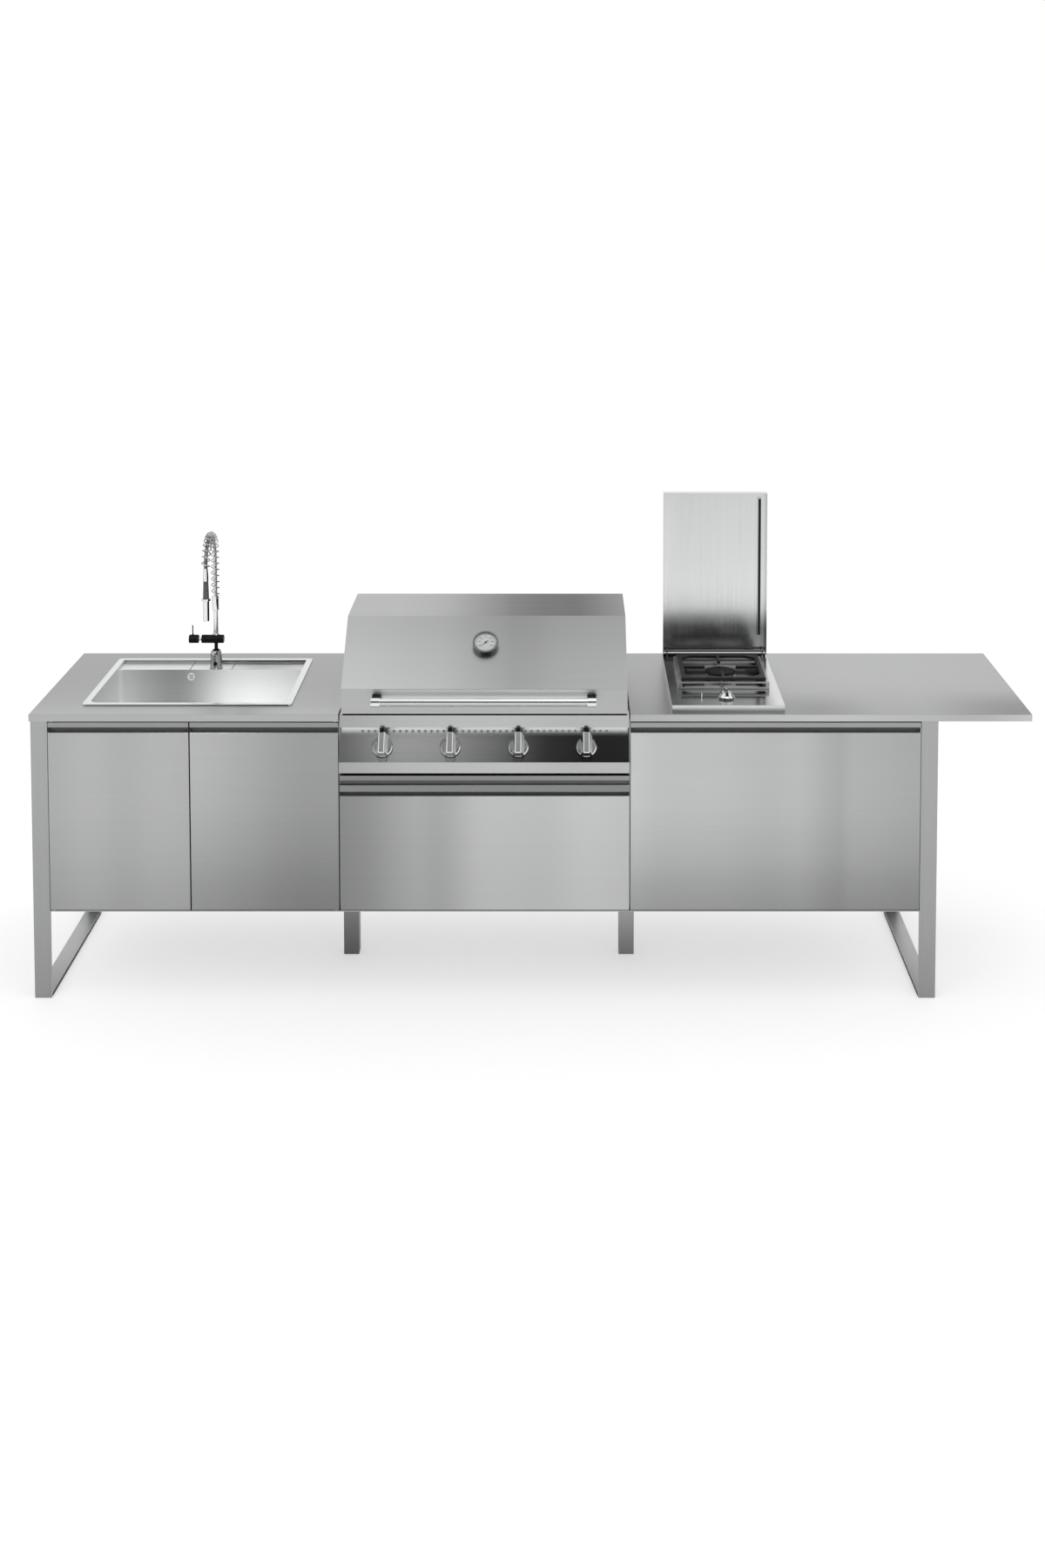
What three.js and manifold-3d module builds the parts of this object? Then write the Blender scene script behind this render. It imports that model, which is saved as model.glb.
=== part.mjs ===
// Outdoor kitchen island in stainless steel: a sink cabinet with a spring tap, a gas grill under a folded
// hood and a cabinet with a drop-in gas hob, all under one worktop that runs on as a bar at the right.
// Millimetres, +Z up. The front faces -Y, and the origin lies on the floor under the middle of the island.
import * as THREE from "three";
import { mergeVertices } from "three/addons/utils/BufferGeometryUtils.js";
import Module from "manifold-3d";

const wasm = await Module();
wasm.setup();

// Worktop
const WORKTOP_HEIGHT = 900;
const WORKTOP_THICKNESS = 22;
const WORKTOP_DEPTH = 700;
const WORKTOP_LIP = 4;
const BAR_OVERHANG = 288;
const REAR_STRIP_DEPTH = 136;

// Side frames and middle legs
const FRAME_WIDTH = 52;
const FRAME_BAR = 12;
const LEG_SIZE = 50;
const LEG_WALL = 3;
const LEG_FOOT = 6;

// Cabinets
const MODULE_WIDTH = 900;
const CABINET_BASE = 275;
const BASE_PLATE = 3;
const SHEET = 2;
const TOP_RAIL_DEPTH = 46;
const NOSE_SETBACK = 2;

// Doors and drawer fronts
const FRONT_THICKNESS = 24;
const FRONT_GAP = 2;
const FRONT_BACK_GAP = 2;
const FRONT_FOLD = 1.5;
const STRIP_HEIGHT = 17;
const GROOVE_HEIGHT = 16;
const GROOVE_DEPTH = 20;
const DOOR_SPLIT = 438;
const PIVOT_INSET = 10;
const PIVOT_DEPTH = 6;
const PIVOT_RADIUS = 4;
const PIVOT_LENGTH = 16;
const DRAWER_TO_TRAY = 13.5;
const DRAWER_STRIP_HEIGHT = 22;
const DRAWER_GROOVE_HEIGHT = 12.5;

// Drawer boxes and runners
const RUNNER_WIDTH = 12;
const RUNNER_HEIGHT = 44;
const RUNNER_LENGTH = 500;
const RUNNER_LIFT = 90;
const DRAWER_BOX_DEPTH = 540;
const DRAWER_BOX_LIFT = 24;
const GRILL_DRAWER_HEIGHT = 250;
const HOB_DRAWER_HEIGHT = 420;

// Sink basin
const SINK_LEFT = 86;
const SINK_FRONT = 88;
const SINK_WIDTH = 657;
const SINK_DEPTH = 529;
const RIM_WIDTH = 20;
const RIM_RISE = 4;
const RIM_CORNER = 12;
const RIM_SEAT = 10;
const BOWL_FRONT_TO_BACK = 402;
const BOWL_DEPTH = 200;
const BOWL_CORNER = 26;
const LEDGE_DROP = 9;
const DRAIN_RADIUS = 44;
const OVERFLOW_RADIUS = 11;
const OVERFLOW_OFFSET = -66;
const OVERFLOW_DROP = 29;

// Waste fittings
const STRAINER_FLANGE = 54;
const STRAINER_DEPTH = 46;
const STRAINER_HOLE = 4;
const STRAINER_HOLE_RING = 22;
const STRAINER_HOLES = 8;
const WASTE_RADIUS = 20;
const WASTE_WALL = 2.5;
const WASTE_DROP = 70;
const BOTTLE_RADIUS = 34;
const BOTTLE_HEIGHT = 110;
const OUTLET_DROP = 26;

// Spring tap
const TAP_X = 429;
const TAP_BACK_FROM_RIM = 82;
const TAP_FLANGE_RADIUS = 22;
const TAP_FLANGE = 3;
const TAP_BASE_RADIUS = 19.5;
const TAP_BASE_TOP_RADIUS = 16;
const TAP_BASE_HEIGHT = 60;
const TAP_BASE_DOME = 14;
const TAP_NECK_RADIUS = 6;
const TAP_NECK_HEIGHT = 24;
const TAP_NECK_SOCKET = 1.5;
const MIXER_RADIUS = 14;
const MIXER_LEFT = 48;
const MIXER_RIGHT = 26;
const LEVER_GAP = 10;
const LEVER_LENGTH = 32;
const LEVER_SPINDLE = 5;
const LEVER_SPINDLE_DEPTH = 12;
const LEVER_PIN_RADIUS = 2.2;
const LEVER_PIN_REACH = 46;
const LEVER_PIN_INSET = 20;
const RISER_RADIUS = 9;
const RISER_HEIGHT = 85;
const SLEEVE_RADIUS = 12.5;
const SLEEVE_HEIGHT = 48;
const SPIGOT_RADIUS = 5;
const SPIGOT_DEPTH = 10;
const HOSE_RADIUS = 6;
const HOSE_SIDES = 10;
const HOSE_STEPS = 34;
const ARCH_RADIUS = 87;
const ARCH_RISE = 132;
const SPRING_COIL_RADIUS = 13;
const SPRING_WIRE = 4;
const SPRING_PITCH = 20.6;
const SPRING_STEPS = 8;
const SPRING_SIDES = 5;
const SPRAY_CONE = 28;
const SPRAY_CONE_TOP = 7;
const SPRAY_COLLAR = 13;
const SPRAY_COLLAR_RADIUS = 8.8;
const SPRAY_GRIP_TOP_RADIUS = 8.2;
const SPRAY_GRIP_LENGTH = 58;
const SPRAY_GRIP_RADIUS = 10;
const SPRAY_RING_RADIUS = 15;
const SPRAY_RING_HEIGHT = 8;
const SPRAY_RING_EDGE = 1.5;
const SPRAY_NOZZLE_LENGTH = 66;
const SPRAY_NOZZLE_RADIUS = 10.5;
const SPRAY_BORE = 8;

// Grill body
const GRILL_SIDE_GAP = 14;
const GRILL_FRONT = 50;
const GRILL_BACK = 520;
const GRILL_BODY_DEPTH = 178;
const GRILL_WALL_DROP = 4;
const GRILL_FLOOR_MARGIN = 120;
const GRATE_LEDGE = 16;
const GRATE_DROP = 30;
const GRATE_HEIGHT = 14;
const GRATE_BAR = 9;
const GRATE_FRAME_BAR = 12;
const GRATE_BARS = 12;
const GRATE_CLEARANCE = 2;

// Control fascia
const FASCIA_GAP = 3;
const FASCIA_DROP = 4;
const FASCIA_BAND = 38;
const FASCIA_RECESS = 45;
const FASCIA_SLOPE_DROP = 101;
const FASCIA_SLOPE_RUN = 72;
const FASCIA_LIP = 34;
const FASCIA_RETURN = 37;
const VENT_COUNT = 40;
const VENT_END_MARGIN = 71.7;
const VENT_RADIUS = 4.8;
const VENT_DOWN_SLOPE = 26;
const VENT_SIDES = 6;

// Gas knobs and valves
const KNOB_COUNT = 4;
const KNOB_END_MARGIN = 135;
const KNOB_DOWN_SLOPE = 77;
const KNOB_RADIUS = 32;
const KNOB_STANDOFF = 4;
const KNOB_SKIRT = 8;
const KNOB_EDGE_SHARE = 0.25;
const KNOB_HEIGHT = 44;
const KNOB_GRIP_WIDTH = 28;
const KNOB_GRIP_TOP = 17;
const KNOB_GRIP_REACH = 46;
const STEM_RADIUS = 4;
const STEM_OUT = 30;
const STEM_IN = 18;
const STEM_COLLAR = 7;
const VALVE_RADIUS = 11;
const VALVE_START = 8;
const VALVE_BORE_DEPTH = 16;
const MANIFOLD_RADIUS = 10;
const MANIFOLD_DEPTH = 38;
const MANIFOLD_OVERRUN = 40;
const BURNER_RADIUS = 13;
const BURNER_WALL = 2;
const BURNER_PORT_LENGTH = 24;
const BURNER_PORT_WIDTH = 4;
const BURNER_PORT_PITCH = 48;
const BURNER_PORTS = 8;

// Drip tray
const TRAY_TO_LIP = 18;
const TRAY_FRONT_HEIGHT = 15;
const TRAY_SETBACK = 3;
const TRAY_DEPTH = 470;
const TRAY_WALL_HEIGHT = 13;
const TRAY_SIDE_GAP = 8;
const TRAY_LEDGE = 20;

// Hood
const HOOD_SIDE_GAP = 8;
const HOOD_LIFT = 1;
const HOOD_BAND = 78;
const HOOD_SLOPE_RUN = 212;
const HOOD_SLOPE_RISE = 175;
const HOOD_BACK_INSET = 13;
const HINGE_BACK = 8;
const HINGE_RISE = 11;
const HINGE_EAR = 9;
const HINGE_PIN_RADIUS = 4;
const HINGE_EAR_SHEET = 3;
const HINGE_EAR_GAP = 0.8;
const HINGE_PIN_REACH = 1.5;
const HANDLE_LENGTH = 692;
const HANDLE_RADIUS = 14;
const HANDLE_REACH = 52;
const HANDLE_RISE = 51;
const HANDLE_POST_WIDTH = 27;
const HANDLE_POST_HEIGHT = 20;

// Thermometer
const DIAL_RADIUS = 40;
const DIAL_HEIGHT = 22;
const DIAL_BEZEL = 6;
const DIAL_EDGE = 1.5;
const DIAL_RECESS = 9;
const DIAL_UP_SLOPE = 162;
const PROBE_RADIUS = 4;
const PROBE_LENGTH = 70;
const LENS_THICKNESS = 2;
const LENS_DROP = 1.5;
const NEEDLE_LENGTH = 29;
const NEEDLE_TAIL = 11;
const NEEDLE_WIDTH = 3;
const NEEDLE_THICKNESS = 1.2;
const NEEDLE_HUB = 4;
const NEEDLE_ANGLE = 222;

// Hob
const HOB_CENTRE = 306;
const HOB_WIDTH = 350;
const HOB_FRONT = 26;
const HOB_BACK = 606;
const HOB_RISE = 20;
const HOB_SEAT = 20;
const HOB_BURNER_Y = 350;
const HOB_BURNER_HOLE = 30;
const HOB_BURNER_RADIUS = 44;
const HOB_BURNER_HEIGHT = 12;
const HOB_CAP_RADIUS = 49;
const HOB_CAP_HEIGHT = 8;
const HOB_CAP_EDGE_SHARE = 0.25;
const HOB_MIXER_DEPTH = 34;
const HOB_MIXER_RADIUS = 22;
const HOB_PIPE_RADIUS = 8;
const HOB_KNOB_Y = 100;
const HOB_KNOB_RADIUS = 25;
const HOB_KNOB_HEIGHT = 24;
const HOB_KNOB_SKIRT = 6;
const HOB_KNOB_GRIP = 16;
const HOB_GRATE_WIDTH = 270;
const HOB_GRATE_DEPTH = 280;
const HOB_GRATE_RISE = 54;
const HOB_GRATE_BAR = 15;
const HOB_GRATE_HEIGHT = 10;
const HOB_FINGER_LENGTH = 84;
const HOB_FINGER_WIDTH = 10;
const HOB_GRATE_GUSSET = 44;
const HOB_STAND_MARGIN = 10;
const HOB_STAND_POST = 12;
const HOB_STAND_RAIL = 6;

// Hob lid
const LID_LENGTH = 551;
const LID_RIM = 34;
const LID_HINGE_BACK = 16;
const LID_HINGE_RISE = 17;
const LID_HINGE_TO_END = 10;
const LID_HINGE_TO_SKIN = 21;
const LID_PIN_RADIUS = 4;
const LID_EAR = 7;
const LID_EAR_SHEET = 4;
const LID_EAR_INSET = 12;
const LID_TRACK_INSET = 31;
const LID_TRACK_WIDTH = 14;
const LID_TRACK_DEPTH = 8;
const LID_TRACK_SLOT = 9;
const LID_TRACK_START = 60;
const LID_TRACK_END = 20;

// Clearances, the run of a cutter past what it cuts, and how far joined shapes run into each other
const SEAT = 0.3;
const SLIDE = 0.4;
const OVERRUN = 5;
const ROOT = 1.5;

// Facets of round shapes
const CORNER_SIDES = 4;
const BORE_SIDES = 8;
const TUBE_SIDES = 12;
const ROD_SIDES = 16;
const ROUND_SIDES = 24;
const DISC_SIDES = 32;
const DIAL_SIDES = 36;

// Heights and depths that follow
const UNDERSIDE = WORKTOP_HEIGHT - WORKTOP_THICKNESS;
const FRAME_DEPTH = WORKTOP_DEPTH - 2 * WORKTOP_LIP;
const BODY_WIDTH = 2 * FRAME_WIDTH + 3 * MODULE_WIDTH;
const CABINET_FLOOR = CABINET_BASE + BASE_PLATE;
const CARCASS_FRONT = FRONT_THICKNESS + FRONT_BACK_GAP;
const FRONT_BOTTOM = CABINET_FLOOR + FRONT_GAP;
const FRONT_TOP = UNDERSIDE - SHEET - FRONT_GAP;
const FASCIA_TOP = WORKTOP_HEIGHT - FASCIA_DROP;
const FASCIA_BOTTOM = FASCIA_TOP - FASCIA_BAND - FASCIA_SLOPE_DROP - FASCIA_LIP;
const TRAY_FRONT_TOP = FASCIA_BOTTOM - TRAY_TO_LIP;
const TRAY_FRONT_BOTTOM = TRAY_FRONT_TOP - TRAY_FRONT_HEIGHT;
const DRAWER_TOP = TRAY_FRONT_BOTTOM - DRAWER_TO_TRAY;
const GRILL_FLOOR = WORKTOP_HEIGHT - GRILL_BODY_DEPTH;
const GRILL_WALL_TOP = WORKTOP_HEIGHT - GRILL_WALL_DROP;
const GRATE_LEVEL = WORKTOP_HEIGHT - GRATE_DROP;
const VENT_PITCH = (MODULE_WIDTH - 2 * VENT_END_MARGIN) / (VENT_COUNT - 1);
const KNOB_PITCH = (MODULE_WIDTH - 2 * KNOB_END_MARGIN) / (KNOB_COUNT - 1);
const HOOD_WIDTH = MODULE_WIDTH - 2 * HOOD_SIDE_GAP;
const HOOD_DEPTH = GRILL_BACK - HOOD_BACK_INSET;
const HOOD_BOTTOM = WORKTOP_HEIGHT + HOOD_LIFT;
const HOB_GRATE_TOP = WORKTOP_HEIGHT + HOB_GRATE_RISE;

// A geometry as a solid, with its faces turned outwards.
function solid(geometry) {
  const bare = new THREE.BufferGeometry();
  const flat = geometry.index ? geometry.toNonIndexed() : geometry;
  bare.setAttribute("position", flat.getAttribute("position").clone());
  const merged = mergeVertices(bare);
  const index = merged.index.array;
  const triangles = [];
  for (let i = 0; i < index.length; i += 3) {
    const [a, b, c] = [index[i], index[i + 1], index[i + 2]];
    if (a !== b && b !== c && c !== a) triangles.push(a, b, c);
  }
  const build = (list) =>
    new wasm.Manifold(
      new wasm.Mesh({
        numProp: 3,
        vertProperties: merged.attributes.position.array,
        triVerts: new Uint32Array(list),
      }),
    );
  const made = build(triangles);
  if (made.volume() > 0) return made;
  for (let i = 0; i < triangles.length; i += 3) {
    [triangles[i + 1], triangles[i + 2]] = [triangles[i + 2], triangles[i + 1]];
  }
  return build(triangles);
}

// A solid as a geometry again.
function geometryOf(shape) {
  const mesh = shape.getMesh();
  const count = mesh.vertProperties.length / mesh.numProp;
  const position = new Float32Array(count * 3);
  for (let i = 0; i < count; i++) {
    for (let k = 0; k < 3; k++) position[3 * i + k] = mesh.vertProperties[mesh.numProp * i + k];
  }
  const geometry = new THREE.BufferGeometry();
  geometry.setAttribute("position", new THREE.BufferAttribute(position, 3));
  geometry.setIndex(new THREE.BufferAttribute(new Uint32Array(mesh.triVerts), 1));
  const faceted = geometry.toNonIndexed();
  faceted.computeVertexNormals();
  return faceted;
}

const joined = (...shapes) => shapes.reduce((a, b) => a.add(b));
const cut = (shape, ...tools) => tools.reduce((a, b) => a.subtract(b), shape);

// A box between two corners.
function block([x0, y0, z0], [x1, y1, z1]) {
  const geometry = new THREE.BoxGeometry(x1 - x0, y1 - y0, z1 - z0);
  geometry.translate((x0 + x1) / 2, (y0 + y1) / 2, (z0 + z1) / 2);
  return solid(geometry);
}

const outline = (points) => new THREE.Shape(points.map(([u, v]) => new THREE.Vector2(u, v)));

function roundedRect([x0, y0], [x1, y1], radius) {
  const shape = new THREE.Shape();
  shape.moveTo(x0 + radius, y0);
  shape.lineTo(x1 - radius, y0);
  shape.absarc(x1 - radius, y0 + radius, radius, -Math.PI / 2, 0);
  shape.lineTo(x1, y1 - radius);
  shape.absarc(x1 - radius, y1 - radius, radius, 0, Math.PI / 2);
  shape.lineTo(x0 + radius, y1);
  shape.absarc(x0 + radius, y1 - radius, radius, Math.PI / 2, Math.PI);
  shape.lineTo(x0, y0 + radius);
  shape.absarc(x0 + radius, y0 + radius, radius, Math.PI, Math.PI * 1.5);
  return shape;
}

// A plan outline pulled up from z0 to z1.
function upright(shape, z0, z1, curveSegments = CORNER_SIDES) {
  const geometry = new THREE.ExtrudeGeometry(shape, { depth: z1 - z0, bevelEnabled: false, curveSegments });
  geometry.translate(0, 0, z0);
  return solid(geometry);
}

// A side outline, drawn in (y, z), pulled along X from x0 to x1.
const SIDE_VIEW = new THREE.Matrix4().makeBasis(
  new THREE.Vector3(0, 1, 0),
  new THREE.Vector3(0, 0, 1),
  new THREE.Vector3(1, 0, 0),
);
function crosswise(shape, x0, x1, curveSegments = CORNER_SIDES) {
  const geometry = new THREE.ExtrudeGeometry(shape, { depth: x1 - x0, bevelEnabled: false, curveSegments });
  geometry.translate(0, 0, x0);
  geometry.applyMatrix4(SIDE_VIEW);
  return solid(geometry);
}

// The inner side of a sheet folded along a path, its thickness laid to the left of the path.
function innerSide(path, thickness) {
  const normals = path.slice(1).map(([u, v], i) => {
    const [du, dv] = [u - path[i][0], v - path[i][1]];
    const length = Math.hypot(du, dv);
    return [-dv / length, du / length];
  });
  return path.map(([u, v], i) => {
    const a = normals[Math.max(i - 1, 0)];
    const b = normals[Math.min(i, normals.length - 1)];
    const mitre = thickness / (1 + a[0] * b[0] + a[1] * b[1]);
    return [u + mitre * (a[0] + b[0]), v + mitre * (a[1] + b[1])];
  });
}

const pathOf = (points) => new THREE.Path(points.map(([u, v]) => new THREE.Vector2(u, v)));
const corners = ([u0, v0], [u1, v1]) => [[u0, v0], [u1, v0], [u1, v1], [u0, v1]];

// A plan or side outline with windows in it.
function pierced(points, windows) {
  const shape = outline(points);
  shape.holes.push(...windows.map(pathOf));
  return shape;
}

// A turned solid about Z from (radius, height) pairs that start and end on the axis or close on themselves.
function turned(profile, sides = ROUND_SIDES) {
  const points = profile.map(([r, h]) => new THREE.Vector2(r, h));
  const geometry = new THREE.LatheGeometry(points, sides);
  geometry.rotateX(Math.PI / 2);
  return solid(geometry);
}

const rod = (radius, z0, z1, sides = ROD_SIDES) =>
  turned([[0, z0], [radius, z0], [radius, z1], [0, z1]], sides);

// The same rod laid along X or Y through a point.
const rodX = (radius, x0, x1, y, z, sides = ROD_SIDES) =>
  rod(radius, x0, x1, sides).rotate([0, 90, 0]).translate([0, y, z]);
const rodY = (radius, y0, y1, x, z, sides = ROD_SIDES) =>
  rod(radius, -y1, -y0, sides).rotate([90, 0, 0]).translate([x, 0, z]);

const FINISHES = {
  brushed: { color: 0xb4b7b8, roughness: 0.38, metalness: 0.9 },
  polished: { color: 0xc6c8c9, roughness: 0.14, metalness: 1 },
  inner: { color: 0x8b8e90, roughness: 0.5, metalness: 0.85 },
  chrome: { color: 0xe2e4e5, roughness: 0.06, metalness: 1 },
  black: { color: 0x0c0c0d, roughness: 0.35, metalness: 0.2 },
  grip: { color: 0x4c4c4e, roughness: 0.6, metalness: 0.1 },
  iron: { color: 0x161617, roughness: 0.7, metalness: 0.4 },
  brass: { color: 0xb59a5a, roughness: 0.35, metalness: 0.9 },
  plastic: { color: 0xd9dadb, roughness: 0.5, metalness: 0 },
  glass: { color: 0xf4f7f8, roughness: 0.05, metalness: 0 },
  dial: { color: 0xf2f2ef, roughness: 0.4, metalness: 0.1 },
  needle: { color: 0x1b1b1c, roughness: 0.5, metalness: 0.1 },
};

function piece(name, shape, finish) {
  const mesh = new THREE.Mesh(geometryOf(shape), new THREE.MeshStandardMaterial(FINISHES[finish]));
  mesh.name = name;
  return mesh;
}

function group(parts, x = 0, y = 0, z = 0) {
  const made = new THREE.Group();
  made.position.set(x, y, z);
  made.add(...parts);
  return made;
}

// Side frames and legs

function sideFrame(name) {
  const window = corners([FRAME_BAR, FRAME_BAR], [FRAME_DEPTH - FRAME_BAR, UNDERSIDE - FRAME_BAR]);
  const side = pierced(corners([0, 0], [FRAME_DEPTH, UNDERSIDE]), [window]);
  return piece(name, crosswise(side, 0, FRAME_WIDTH), "brushed");
}

function middleLeg(name) {
  const half = LEG_SIZE / 2;
  const bore = half - LEG_WALL;
  const tube = block([-half, -half, 0], [half, half, CABINET_BASE]);
  const inside = block([-bore, -bore, LEG_FOOT], [bore, bore, CABINET_BASE + OVERRUN]);
  return piece(name, cut(tube, inside), "brushed");
}

// Cabinets

// An open-fronted box with a floor plate that runs out under the fronts and, where asked, a rail over them.
function carcass(withTopRail) {
  const [w, d] = [MODULE_WIDTH, FRAME_DEPTH];
  const ceiling = withTopRail ? UNDERSIDE - SHEET : UNDERSIDE + OVERRUN;
  const openFrom = withTopRail ? TOP_RAIL_DEPTH : CARCASS_FRONT - OVERRUN;
  return cut(
    block([0, NOSE_SETBACK, CABINET_BASE], [w, d, UNDERSIDE]),
    block([-OVERRUN, NOSE_SETBACK - OVERRUN, CABINET_FLOOR], [w + OVERRUN, CARCASS_FRONT, ceiling]),
    block([SHEET, CARCASS_FRONT - OVERRUN, CABINET_FLOOR], [w - SHEET, d - SHEET, ceiling]),
    block([SHEET, openFrom, CABINET_FLOOR + OVERRUN], [w - SHEET, d - SHEET, UNDERSIDE + OVERRUN]),
  );
}

const DOOR_LEFT = FRONT_GAP;
const DOOR_RIGHT = MODULE_WIDTH - FRONT_GAP;
const DOOR_EDGES = [
  { from: DOOR_LEFT, to: DOOR_SPLIT - FRONT_GAP, pivot: DOOR_LEFT + PIVOT_INSET },
  { from: DOOR_SPLIT + FRONT_GAP, to: DOOR_RIGHT, pivot: DOOR_RIGHT - PIVOT_INSET },
];

// The doors turn on pins that stand on the floor plate and hang from the top rail.
function sinkCabinet() {
  const pins = DOOR_EDGES.flatMap(({ pivot }) => [
    rod(PIVOT_RADIUS, CABINET_FLOOR - SHEET, FRONT_BOTTOM + PIVOT_LENGTH).translate([pivot, PIVOT_DEPTH, 0]),
    rod(PIVOT_RADIUS, FRONT_TOP - PIVOT_LENGTH, UNDERSIDE - SHEET / 2).translate([pivot, PIVOT_DEPTH, 0]),
  ]);
  return piece("sink_cabinet", joined(carcass(true), ...pins), "brushed");
}

// A front with a finger groove under a top strip.
function grooveFront(x0, x1, top, strip, groove) {
  const stripBottom = top - strip;
  const faceTop = stripBottom - groove;
  const profile = outline([
    [FRONT_FOLD, FRONT_BOTTOM],
    [0, FRONT_BOTTOM + FRONT_FOLD],
    [0, faceTop - FRONT_FOLD],
    [FRONT_FOLD, faceTop],
    [GROOVE_DEPTH, faceTop],
    [GROOVE_DEPTH, stripBottom],
    [FRONT_FOLD, stripBottom],
    [0, stripBottom + FRONT_FOLD],
    [0, top - FRONT_FOLD],
    [FRONT_FOLD, top],
    [FRONT_THICKNESS, top],
    [FRONT_THICKNESS, FRONT_BOTTOM],
  ]);
  return crosswise(profile, x0, x1);
}

function door(name, { from, to, pivot }) {
  const bore = PIVOT_RADIUS + SLIDE;
  const depth = PIVOT_LENGTH + FRONT_GAP;
  return piece(
    name,
    cut(
      grooveFront(from, to, FRONT_TOP, STRIP_HEIGHT, GROOVE_HEIGHT),
      rod(bore, FRONT_BOTTOM - OVERRUN, FRONT_BOTTOM + depth).translate([pivot, PIVOT_DEPTH, 0]),
      rod(bore, FRONT_TOP - depth, FRONT_TOP + OVERRUN).translate([pivot, PIVOT_DEPTH, 0]),
    ),
    "brushed",
  );
}

// A drawer: its front, an open box behind it and the runners on the cabinet walls.
function drawer(name, { top, strip, groove }, boxHeight) {
  const front = grooveFront(FRONT_GAP, MODULE_WIDTH - FRONT_GAP, top, strip, groove);
  const boxLeft = SHEET + RUNNER_WIDTH + 2 * SLIDE;
  const boxRight = MODULE_WIDTH - boxLeft;
  const boxBack = FRONT_THICKNESS + DRAWER_BOX_DEPTH;
  const boxBottom = FRONT_BOTTOM + DRAWER_BOX_LIFT;
  const box = cut(
    block([boxLeft, FRONT_THICKNESS + SEAT, boxBottom], [boxRight, boxBack, boxBottom + boxHeight]),
    block(
      [boxLeft + SHEET, FRONT_THICKNESS + SEAT + SHEET, boxBottom + SHEET],
      [boxRight - SHEET, boxBack - SHEET, boxBottom + boxHeight + OVERRUN],
    ),
  );
  const runner = (x0) =>
    block(
      [x0, CARCASS_FRONT + SHEET, boxBottom + RUNNER_LIFT],
      [x0 + RUNNER_WIDTH, CARCASS_FRONT + SHEET + RUNNER_LENGTH, boxBottom + RUNNER_LIFT + RUNNER_HEIGHT],
    );
  return [
    piece(`${name}_front`, front, "brushed"),
    piece(`${name}_box`, box, "inner"),
    piece(`${name}_left_runner`, runner(SHEET + SLIDE), "inner"),
    piece(`${name}_right_runner`, runner(MODULE_WIDTH - SHEET - SLIDE - RUNNER_WIDTH), "inner"),
  ];
}

// Sink

const SINK_RIGHT = SINK_LEFT + SINK_WIDTH;
const SINK_REAR = SINK_FRONT + SINK_DEPTH;
const BOWL_LEFT = SINK_LEFT + RIM_WIDTH;
const BOWL_RIGHT = SINK_RIGHT - RIM_WIDTH;
const BOWL_FRONT = SINK_FRONT + RIM_WIDTH;
const BOWL_BACK = BOWL_FRONT + BOWL_FRONT_TO_BACK;
const BOWL_X = (BOWL_LEFT + BOWL_RIGHT) / 2;
const BOWL_Y = (BOWL_FRONT + BOWL_BACK) / 2;
const BOWL_FLOOR = WORKTOP_HEIGHT - BOWL_DEPTH;
const LEDGE_BACK = SINK_REAR - RIM_WIDTH;
const LEDGE_LEVEL = WORKTOP_HEIGHT + RIM_RISE - LEDGE_DROP;
const RIM_TOP = WORKTOP_HEIGHT + RIM_RISE;

function sinkBasin() {
  const flange = upright(
    roundedRect([SINK_LEFT, SINK_FRONT], [SINK_RIGHT, SINK_REAR], RIM_CORNER),
    WORKTOP_HEIGHT,
    RIM_TOP,
  );
  const [outX0, outX1] = [BOWL_LEFT - SHEET, BOWL_RIGHT + SHEET];
  const shell = upright(
    roundedRect([outX0, BOWL_FRONT - SHEET], [outX1, BOWL_BACK + SHEET], BOWL_CORNER + SHEET),
    BOWL_FLOOR - SHEET,
    RIM_TOP,
  );
  const ledgeFront = BOWL_BACK - BOWL_CORNER;
  const ledge = block([outX0, ledgeFront, LEDGE_LEVEL - SHEET], [outX1, LEDGE_BACK + SHEET, RIM_TOP]);
  const bowl = upright(
    roundedRect([BOWL_LEFT, BOWL_FRONT], [BOWL_RIGHT, BOWL_BACK], BOWL_CORNER),
    BOWL_FLOOR,
    RIM_TOP + OVERRUN,
  );
  const recess = block([BOWL_LEFT, ledgeFront, LEDGE_LEVEL], [BOWL_RIGHT, LEDGE_BACK, RIM_TOP + OVERRUN]);
  const drain = rod(DRAIN_RADIUS, BOWL_FLOOR - OVERRUN, BOWL_FLOOR + OVERRUN, DISC_SIDES);
  const overflow = rodY(OVERFLOW_RADIUS, -OVERRUN, OVERRUN, BOWL_X + OVERFLOW_OFFSET, OVERFLOW_Z);
  const basin = cut(
    joined(flange, shell, ledge),
    bowl,
    recess,
    drain.translate([BOWL_X, BOWL_Y, 0]),
    overflow.translate([0, BOWL_BACK, 0]),
  );
  return piece("sink_basin", basin, "polished");
}

const OVERFLOW_Z = WORKTOP_HEIGHT - OVERFLOW_DROP;
const STRAINER_BOTTOM = BOWL_FLOOR - STRAINER_DEPTH;

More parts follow.
